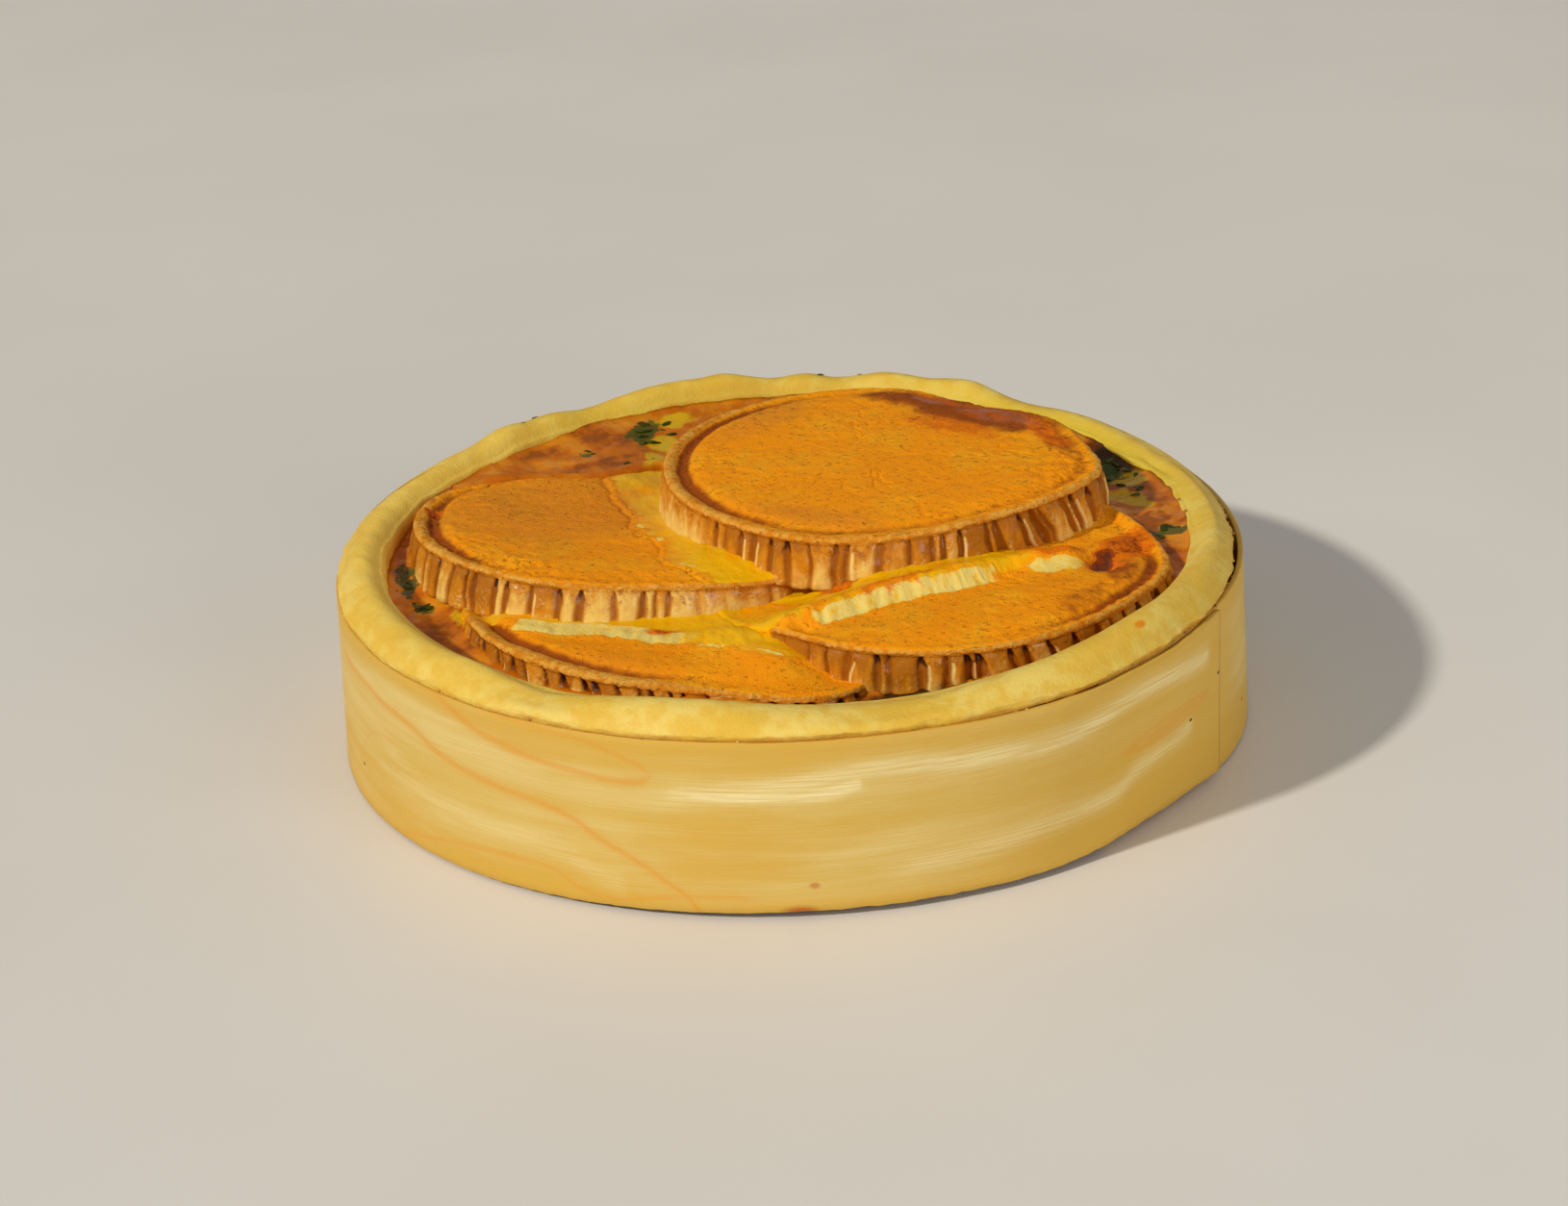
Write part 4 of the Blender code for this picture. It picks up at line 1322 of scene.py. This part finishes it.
def cheese_rounds() -> list[CheeseRound]:
    """Gives the four rounds from the topmost down, each knowing those that lie on it."""
    back = CheeseRound(
        "cheese_back", (17.6, 16.4, 44.4), 40.2, 10.2, (0.004, 0.002),
        ((-15, 10, 3.2), (54, 14, -6.2), (-110, 12, 1.3), (-60, 15, -2.3), (145, 25, 1.2)),
        Rind(11, ripe=0.35, curtain=(-38, 17), melted=(-160, 14)),
        furrow=((188, 36, 0.95), (140, 22, 0.5), (-75, 28, 0.3), (-10, 18, 0.4)),
        lip_wide=1.5,
        crumbly=(-8, 26),
        marks={
            Mark.PLUM: patches(
                (21, 21, 19, 7.5, -38), (7, 32, 10, 5, -24, 0.75), (35, 5, 10, 3.4, -82, 0.6),
            ),
            Mark.SYRUP: patches((24, 20, 10, 4.5, -38, 0.9), (13, 30, 5, 3, -30, 0.8)),
            Mark.BURN: patches((15, 14, 14, 4.5, -38, 0.36), (33, 9, 9, 3, -75, 0.5)),
            Mark.TAN: patches((-22, 22, 18, 8, 50, 0.7), (-12, -30, 18, 5, -28, 0.8)),
        },
    )
    left = CheeseRound(
        "cheese_left", (-29.8, 12.1, 34.8), 41.3, 9.2, (0.086, 0.107),
        ((-82, 12, -2.0), (-38, 10, 3.5), (103, 20, -10.5), (150, 12, 1.4)),
        Rind(23, panels=58, ripe=-0.1, melted=(-62, 13), browned=(-158, 28)),
        swells=((24, 4, 8, 1.6), (14, -13, 9, 1.0), (22, -24, 7, 2.2), (-20, 31, 10, 1.4), (3, 29, 10, 2.2)),
        furrow=((178, 18, 0.9), (-150, 16, 0.6), (122, 16, 0.45)),
        lip_wide=1.6,
        crumbly=(-160, 50),
        melt_edge=(
            (16, -40), (12, -33), (6.8, -28.5), (4.8, -14), (1.5, -11), (0.9, -3.4), (-0.1, 2), (-3.2, 12),
            (-6.2, 23), (-8, 36),
        ),
        marks={
            Mark.TORN: patches(
                (1.2, -3.4, 1.8, 0.8, -60, 0.9),
                (5.0, -13.5, 2.0, 0.7, -70, 0.9),
                (10.9, -30.0, 1.8, 0.8, -30, 0.9),
            ),
            Mark.SYRUP: patches((26, -27, 7.5, 1.8, -12), (18, -22, 7, 1.8, -32, 0.5)),
            Mark.BURN: patches((-38, 6, 2.5, 1.5, 80, 0.7)),
            Mark.TAN: patches((-16, 6, 26, 26, 0, 0.85), (-4, 25, 16, 6, 10, 0.7)),
        },
        above=[back],
    )
    right = CheeseRound(
        "cheese_right", (26.6, -16.0, 36.5), 41.1, 8.6, (0.0, 0.0),
        ((-135, 8, -1.2), (-92, 15, 0.8), (-12, 12, 2.2)),
        Rind(37, panels=60, ripe=0.2, curtain=(-60, 22), melted=(-165, 16), browned=(-118, 18)),
        tear=((-20.3, -26.1), (27.1, -4.3), 1.9, 0.9),
        swells=(
            (-26, -3, 8, -4.5), (24, 9, 9, -1.2), (18.5, -4.5, 2.6, 1.6), (24.5, -3.0, 2.4, 2.0),
            (-17.6, -10.8, 1.1, -1.2), (31, -5, 2.6, -2.2),
        ),
        droop=((-37, -12, 9, -4.5),),
        furrow=((-35, 20, 0.7), (-8, 10, 0.5)),
        crumbly=(-25, 40),
        marks={
            Mark.TORN: patches((22.5, -6.6, 6.5, 1.9, 16, 0.95)),
            Mark.BURN: patches(
                (-9, -15.5, 14, 2.0, 24, 0.34),
                (22, -2.4, 7, 1.7, 20, 0.42),
                (31.0, -3, 5.0, 3.0, 60, 0.95),
                (36, 4, 8, 5, 60, 0.6),
                (-17.6, -11.0, 1.6, 1.1, 0, 1.1),
                (-19.5, -9.5, 3.5, 1.6, 0, 0.5),
            ),
            Mark.SYRUP: patches((-17.5, -8.5, 4.0, 2.0, 10, 0.8), (31, -4, 4, 3, 50, 0.8)),
            Mark.MELT: patches((-36, -12, 9, 7, -60), (-28, -20.5, 8, 4.5, 37)),
            Mark.PLUM: patches((26, -22, 12, 4.0, 52, 0.45), (33, -8, 9, 4.6, 85, 0.65)),
        },
        above=[back, left],
    )
    front = CheeseRound(
        "cheese_front", (-19.5, -16.5, 32.5), 40.8, 8.4, (0.060, -0.010),
        ((-57, 15, 10.8), (-125, 16, -0.8)),
        Rind(53, panels=72, ripe=0.16, curtain=(-122, 50), browned=(-152, 24)),
        tear=((-29.8, -17.0), (27.6, -35.0), -1.0, 0.4),
        bow=2.2,
        torn_width=5.6,
        torn_end=0.56,
        swells=((10, -24, 6, 2.4), (17, -32, 5, 2.4)),
        droop=((-41, 4, 7, -3.6),),
        furrow=((-146, 16, 1.1), (-108, 14, 0.5)),
        lip_wide=2.6,
        marks={
            Mark.BURN: patches(
                (-3.6, -18.0, 3.2, 1.6, 0, 0.62), (-41, -15, 3.4, 2.0, -70, 1.0),
                (-38.5, -23, 5, 1.5, -60, 0.7), (-31.5, -30, 6, 1.3, -47, 0.55),
            ),
            Mark.TAN: patches((-14, -34, 18, 8, -20, 0.6)),
            Mark.TORN: patches((5, -26.6, 5, 0.6, -24, 0.8), (15, -32.0, 6, 0.6, -26, 0.8)),
            Mark.MELT: patches((8, -23, 8, 5, -30), (16, -28, 7, 5, -30), (-34, -6, 9, 5, -12)),
        },
        above=[back, left, right],
    )
    return [back, left, right, front]


@dataclass
class SpinachCustard:
    """The custard's skin, which swells, sinks and wrinkles, and runs in under the rounds."""

    rounds: list[CheeseRound]
    level: float = 32.2
    rise_back: float = 0.040
    rise_right: float = 0.010
    outside: float = 75.6
    columns: int = 560
    rows: int = 66
    swells: Swells = (
        (-36, 57, 7, 1.0), (-54, 41, 6, 0.9), (-18, 40, 12, -1.0), (60, 30, 7, -2.6), (68, 4, 8, 1.4),
        (64, 22, 4, 1.0), (-70, -14, 5, -1.0), (-40, -50, 14, -1.2), (6, -63, 9, -1.0),
        (14, -59, 8, -2.4),
    )
    yellow: tuple[Blotch, ...] = patches(
        (-22, 67, 5, 3, 20), (-24, 57, 4, 4, 60), (-26, 49, 5, 2.5, 80, 0.8),
        (66, 26, 6, 4, 100), (66, 14, 7, 3, 120), (-60, -22, 5, 2, -60, 0.8),
        (-64, -10, 8, 1.6, -75, 0.9), (58, 4, 5, 3, 90, 0.7), (24, -62, 6, 1.6, 8, 0.7),
    )
    green: tuple[Blotch, ...] = patches(
        (-28, 62, 6, 3, 50), (-71.5, -4, 8, 2.5, -80, 0.8), (-68, -14, 5, 2.5, -60, 0.6),
        (62, 33, 9, 3, -60, 0.9), (70, -4, 6, 2.5, 20, 0.7), (14, -66, 12, 3, 5, 0.9),
        (-40, 52, 4, 2, 10, 0.5), (17, -61.5, 7, 2.2, 8, 1.0), (29, -59, 5, 2, 28, 0.7),
    )
    # Dark patches: darker custard, and, where stronger than about 1, painted shadow in the pockets at the
    # right and front right between the rounds and the wall.
    dark: tuple[Blotch, ...] = patches(
        (5, -66, 8, 3.5, 5), (30, -58, 12, 3, 26), (48, -46, 12, 4, 45, 0.8),
        (18, -60, 13, 4, 8, 1.6),
        (57, 4, 5, 14, 0, 1.1), (64.5, 32, 4.5, 14, 8, 1.7), (70, 0, 5, 12, 0, 0.8),
        (-42, 58, 12, 4, 30, 0.35), (-60, -28, 8, 10, 60, 0.45), (-38, 47, 8, 3, 20, 0.5),
    )

    def height(self, x: Array, y: Array) -> Array:
        """Gives the height of the skin over world places, where no round lies."""
        radius = np.hypot(x, y)
        level = self.level + self.rise_back * y + self.rise_right * x
        climb = 0.8 * ramp(radius, 66, 74.6) + 0.6 * ramp(radius, 74.2, 75.4)
        bubbles = 0.28 * grain(flat(x, y), 4.5, 61, 3) + 0.35 * grain(flat(x, y), 14, 62, 2)
        creases = -0.35 * bell(grain(flat(x * 0.6, y * 1.2), 8, 63, 2), 0.07)
        return level + climb + bubbles + creases + swell(self.swells, x, y)

    def build(self, finish: bpy.types.Material) -> bpy.types.Object:
        """Builds the custard.

        Args:
            finish: Its baked skin.

        Returns:
            The custard, as one closed body.
        """
        rings = self.outside * np.linspace(0.005, 1.0, self.rows) ** 0.8
        own = np.concatenate([rings, [75.3, 74.6, 73.4, 71.3, 0.4]])[:, None]
        low = np.concatenate([np.zeros(self.rows), [30, 26, 8.2, 5.5, 5.4]])[:, None]
        turn = (np.arange(self.columns) * 2 * math.pi / self.columns)[None, :]
        x = own * np.cos(turn)
        y = own * np.sin(turn)
        height = self.height(x, y)
        for other in self.rounds:
            deep = other.inside(x, y)
            height += 0.8 * bell(deep + 0.5, 1.2)
            under = other.underside(x, y) - 1.5
            height = np.minimum(height, under + 60 * ramp(-deep, -2.2, -1.2))
        height = np.where(low > 0.0, low, height)
        blotches = {"yellow": self.yellow, "green": self.green, "dark": self.dark}
        values = {name: covered(group, x, y) for name, group in blotches.items()}
        return assembled("custard_skin", [Skin(flat(x, y, height), values)], finish)


def lump(centre: Array | Triple, size: Triple, turn: float, seed: int, wave: float) -> Array:
    """Makes a small uneven lump or leaf.

    Args:
        centre: Its middle.
        size: Half its length, width and thickness.
        turn: Degrees that it is turned round Z.
        seed: Which one it is.
        wave: How far it curls up and down.

    Returns:
        Its grid of points, from the middle of its top to the middle of its underside.
    """
    side = np.array([0.04, 0.35, 0.65, 0.88, 1.0, 0.88, 0.55, 0.05])[:, None]
    lift = np.array([1.0, 0.92, 0.70, 0.38, 0.0, -0.38, -0.85, -1.0])[:, None]
    angle = (np.arange(16) * 2 * math.pi / 16)[None, :]
    length, width, thick = size
    ragged = 1.0 + 0.38 * grain(flat(np.cos(angle), np.sin(angle)) * 0.9, 1.0, seed, 2)
    x = side * np.cos(angle) * length * ragged
    y = side * np.sin(angle) * width * ragged
    z = lift * thick + wave * grain(flat(x, y, 10.0 * seed), 2.2, seed + 1, 2)
    cosine = math.cos(math.radians(turn))
    sine = math.sin(math.radians(turn))
    return flat(x * cosine - y * sine, x * sine + y * cosine, z) + np.array(centre)


@dataclass
class SpinachScraps:
    """Scraps of spinach leaf that stand out of the custard, and a few on the rim."""

    custard: SpinachCustard
    shell: PastryShell
    beds: tuple[tuple[float, float, float, int], ...] = (
        (-26, 61, 6, 8), (-29, 47, 4, 4), (-39, 54, 3, 2), (-72, -4, 4, 6), (-67.5, -12.5, 3.5, 5),
        (67, 32, 6, 8), (67, 18, 4, 5), (70, -5, 4, 6), (66, -11, 3, 4), (17, -61, 5, 8), (56, 41, 4, 4),
    )
    flecks: Spots = ((128, 81.5), (131, 80.0), (84, 80.5), (78, 81.0))

    def build(self, finish: bpy.types.Material) -> bpy.types.Object:
        """Builds the scraps.

        Args:
            finish: Their leaf.

        Returns:
            All of them, as one object.
        """
        draw = np.random.default_rng(5)
        skins = []
        for bed_x, bed_y, spread, count in self.beds:
            for _ in range(count):
                x, y = np.array([bed_x, bed_y]) + draw.normal(0, spread * 0.5, 2)
                radius = math.hypot(x, y)
                if radius > 74.0:
                    x, y = x * 73.5 / radius, y * 73.5 / radius
                if any(float(r.inside(np.array(x), np.array(y))) > 0.0 for r in self.custard.rounds):
                    continue
                z = float(self.custard.height(np.array(x), np.array(y))) + 0.02
                size = draw.uniform(0.6, 1.8)
                sizes = (size, size * 0.5, 0.16)
                grid = lump((x, y, z), sizes, draw.uniform(0, 180), len(skins) + 70, 0.40)
                skins.append(Skin(grid))
        for angle, radius in self.flecks:
            centre = around(radius, angle, self.shell.crest_height(angle) - 0.12 * (radius - 79.8) ** 2)
            skins.append(Skin(lump(centre, (0.8, 0.3, 0.15), angle + 90, len(skins), 0.1)))
        return assembled("spinach_scraps", skins, finish)


@dataclass
class PastryCrumbs:
    """Crumbs along the lower edge of the rim and in the gap at the right."""

    band: VeneerBand
    count: int = 150

    def build(self, finish: bpy.types.Material) -> bpy.types.Object:
        """Builds the crumbs.

        Args:
            finish: Their toasted pastry.

        Returns:
            All of them, as one object.
        """
        draw = np.random.default_rng(9)
        skins = []
        for i in range(self.count):
            in_gap = i < 60
            angle = draw.normal(4, 17) if in_gap else draw.uniform(190, 345)
            radius = (83.1 if in_gap else 84.2) + draw.uniform(-0.4, 0.35)
            centre = around(radius, angle, self.band.upper(angle) + draw.uniform(-0.2, 0.35))
            size = draw.uniform(0.16, 0.45)
            sizes = (size, size * 0.8, size * 0.6)
            skins.append(Skin(lump(centre, sizes, draw.uniform(0, 180), i + 300, 0.05)))
        return assembled("pastry_crumbs", skins, finish)


@dataclass(frozen=True)
class Lamp:
    """A round lamp that points at the quiche.

    Attributes:
        azimuth: Degrees from +X, seen from above.
        elevation: Degrees over the floor.
        far: Its distance in metres.
        size: Its diameter in metres.
        power: Its power in watts.
    """

    name: str
    azimuth: float
    elevation: float
    far: float
    size: float
    power: float
    colour: Colour

    def build(self) -> None:
        """Adds the lamp to the scene."""
        data = bpy.data.lights.new(self.name, "AREA")
        data.shape = "DISK"
        data.size = self.size
        data.energy = self.power
        data.color = self.colour
        turn = math.radians(self.azimuth)
        rise = math.radians(self.elevation)
        towards = Vector((math.cos(turn) * math.cos(rise), math.sin(turn) * math.cos(rise), math.sin(rise)))
        lamp = bpy.data.objects.new(self.name, data)
        lamp.location = towards * self.far
        lamp.rotation_euler = towards.to_track_quat("Z", "Y").to_euler()
        bpy.context.scene.collection.objects.link(lamp)


@dataclass
class Studio:
    """The camera, the pale floor, a low key light at the left and a wide soft one at the right."""

    eye: Triple = (-0.000001, -0.64483, 0.29732)
    yaw: float = -0.118
    pitch: float = 23.116
    roll: float = -2.947
    lens: float = 85.0
    lamps: tuple[Lamp, ...] = (
        Lamp("key", 212.0, 35.6, 8.0, 0.50, 462.0, (1.0, 0.95, 0.85)),
        Lamp("fill", -52.0, 12.0, 1.8, 1.3, 14.0, (1.0, 0.97, 0.92)),
    )

    def build(self) -> None:
        """Sets up all of it."""
        self.add_camera()
        for lamp in self.lamps:
            lamp.build()
        self.add_sky()
        self.add_floor()

    def add_camera(self) -> None:
        """Adds the camera, upright axes first and then rolled."""
        yaw, pitch, roll = (math.radians(v) for v in (self.yaw, self.pitch, self.roll))
        ahead = Vector((math.sin(yaw) * math.cos(pitch), math.cos(yaw) * math.cos(pitch), -math.sin(pitch)))
        right = Vector((math.cos(yaw), -math.sin(yaw), 0.0))
        up = right.cross(ahead)
        rolled_right = math.cos(roll) * right + math.sin(roll) * up
        rolled_up = math.cos(roll) * up - math.sin(roll) * right
        data = bpy.data.cameras.new("camera")
        data.lens = self.lens
        data.clip_start = 0.01
        camera = bpy.data.objects.new("camera", data)
        bpy.context.scene.collection.objects.link(camera)
        turn = Matrix((rolled_right, rolled_up, -ahead)).transposed().to_4x4()
        camera.matrix_world = Matrix.Translation(self.eye) @ turn
        bpy.context.scene.camera = camera

    def add_sky(self) -> None:
        """Adds an even sky, and shows colours as they are."""
        world = bpy.data.worlds.new("sky")
        world.use_nodes = True
        backdrop = world.node_tree.nodes["Background"]
        backdrop.inputs["Color"].default_value = (1.0, 0.985, 0.95, 1.0)
        backdrop.inputs["Strength"].default_value = 0.27
        bpy.context.scene.world = world
        bpy.context.scene.view_settings.view_transform = "Standard"

    def add_floor(self) -> None:
        """Adds the pale floor."""
        bpy.ops.mesh.primitive_plane_add(size=6.0, location=(0.0, 0.0, 0.0))
        floor = bpy.context.object
        floor.name = "floor"
        bench = Bench("pale_floor")
        shade = bench.noise(120, 3.0).between(0.3, 0.7)
        tone = bench.mix(shade, (0.775, 0.74, 0.695), (0.805, 0.77, 0.725))
        floor.data.materials.append(bench.done(tone, 0.45))


def settle(piece: bpy.types.Object, node: str | None = None) -> None:
    """Makes a piece part of the quiche.

    Args:
        piece: The finished piece.
        node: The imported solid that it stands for.
    """
    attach(piece, "root")
    if node is not None:
        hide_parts(node)
    LOG.info("%s: %d faces", piece.name, len(piece.data.polygons))


def main() -> None:
    """Builds every piece in order, from the band inwards and then upwards."""
    logging.basicConfig(level=logging.INFO)
    Studio().build()
    cheese = CheeseFinish().made()
    band = VeneerBand()
    settle(band.build(VeneerFinish().made()), "wood_band")
    shell = PastryShell(band)
    settle(shell.build(PastryFinish().made()), "crust")
    rounds = cheese_rounds()
    custard = SpinachCustard(rounds)
    settle(custard.build(CustardFinish().made()), "custard")
    for piece in rounds:
        settle(piece.build(cheese), piece.name.replace("cheese_", "cheese_round_"))
    settle(SpinachScraps(custard, shell).build(SpinachFinish().made()))
    settle(PastryCrumbs(band).build(CrumbFinish().made()))


if __name__ == "__main__":
    main()
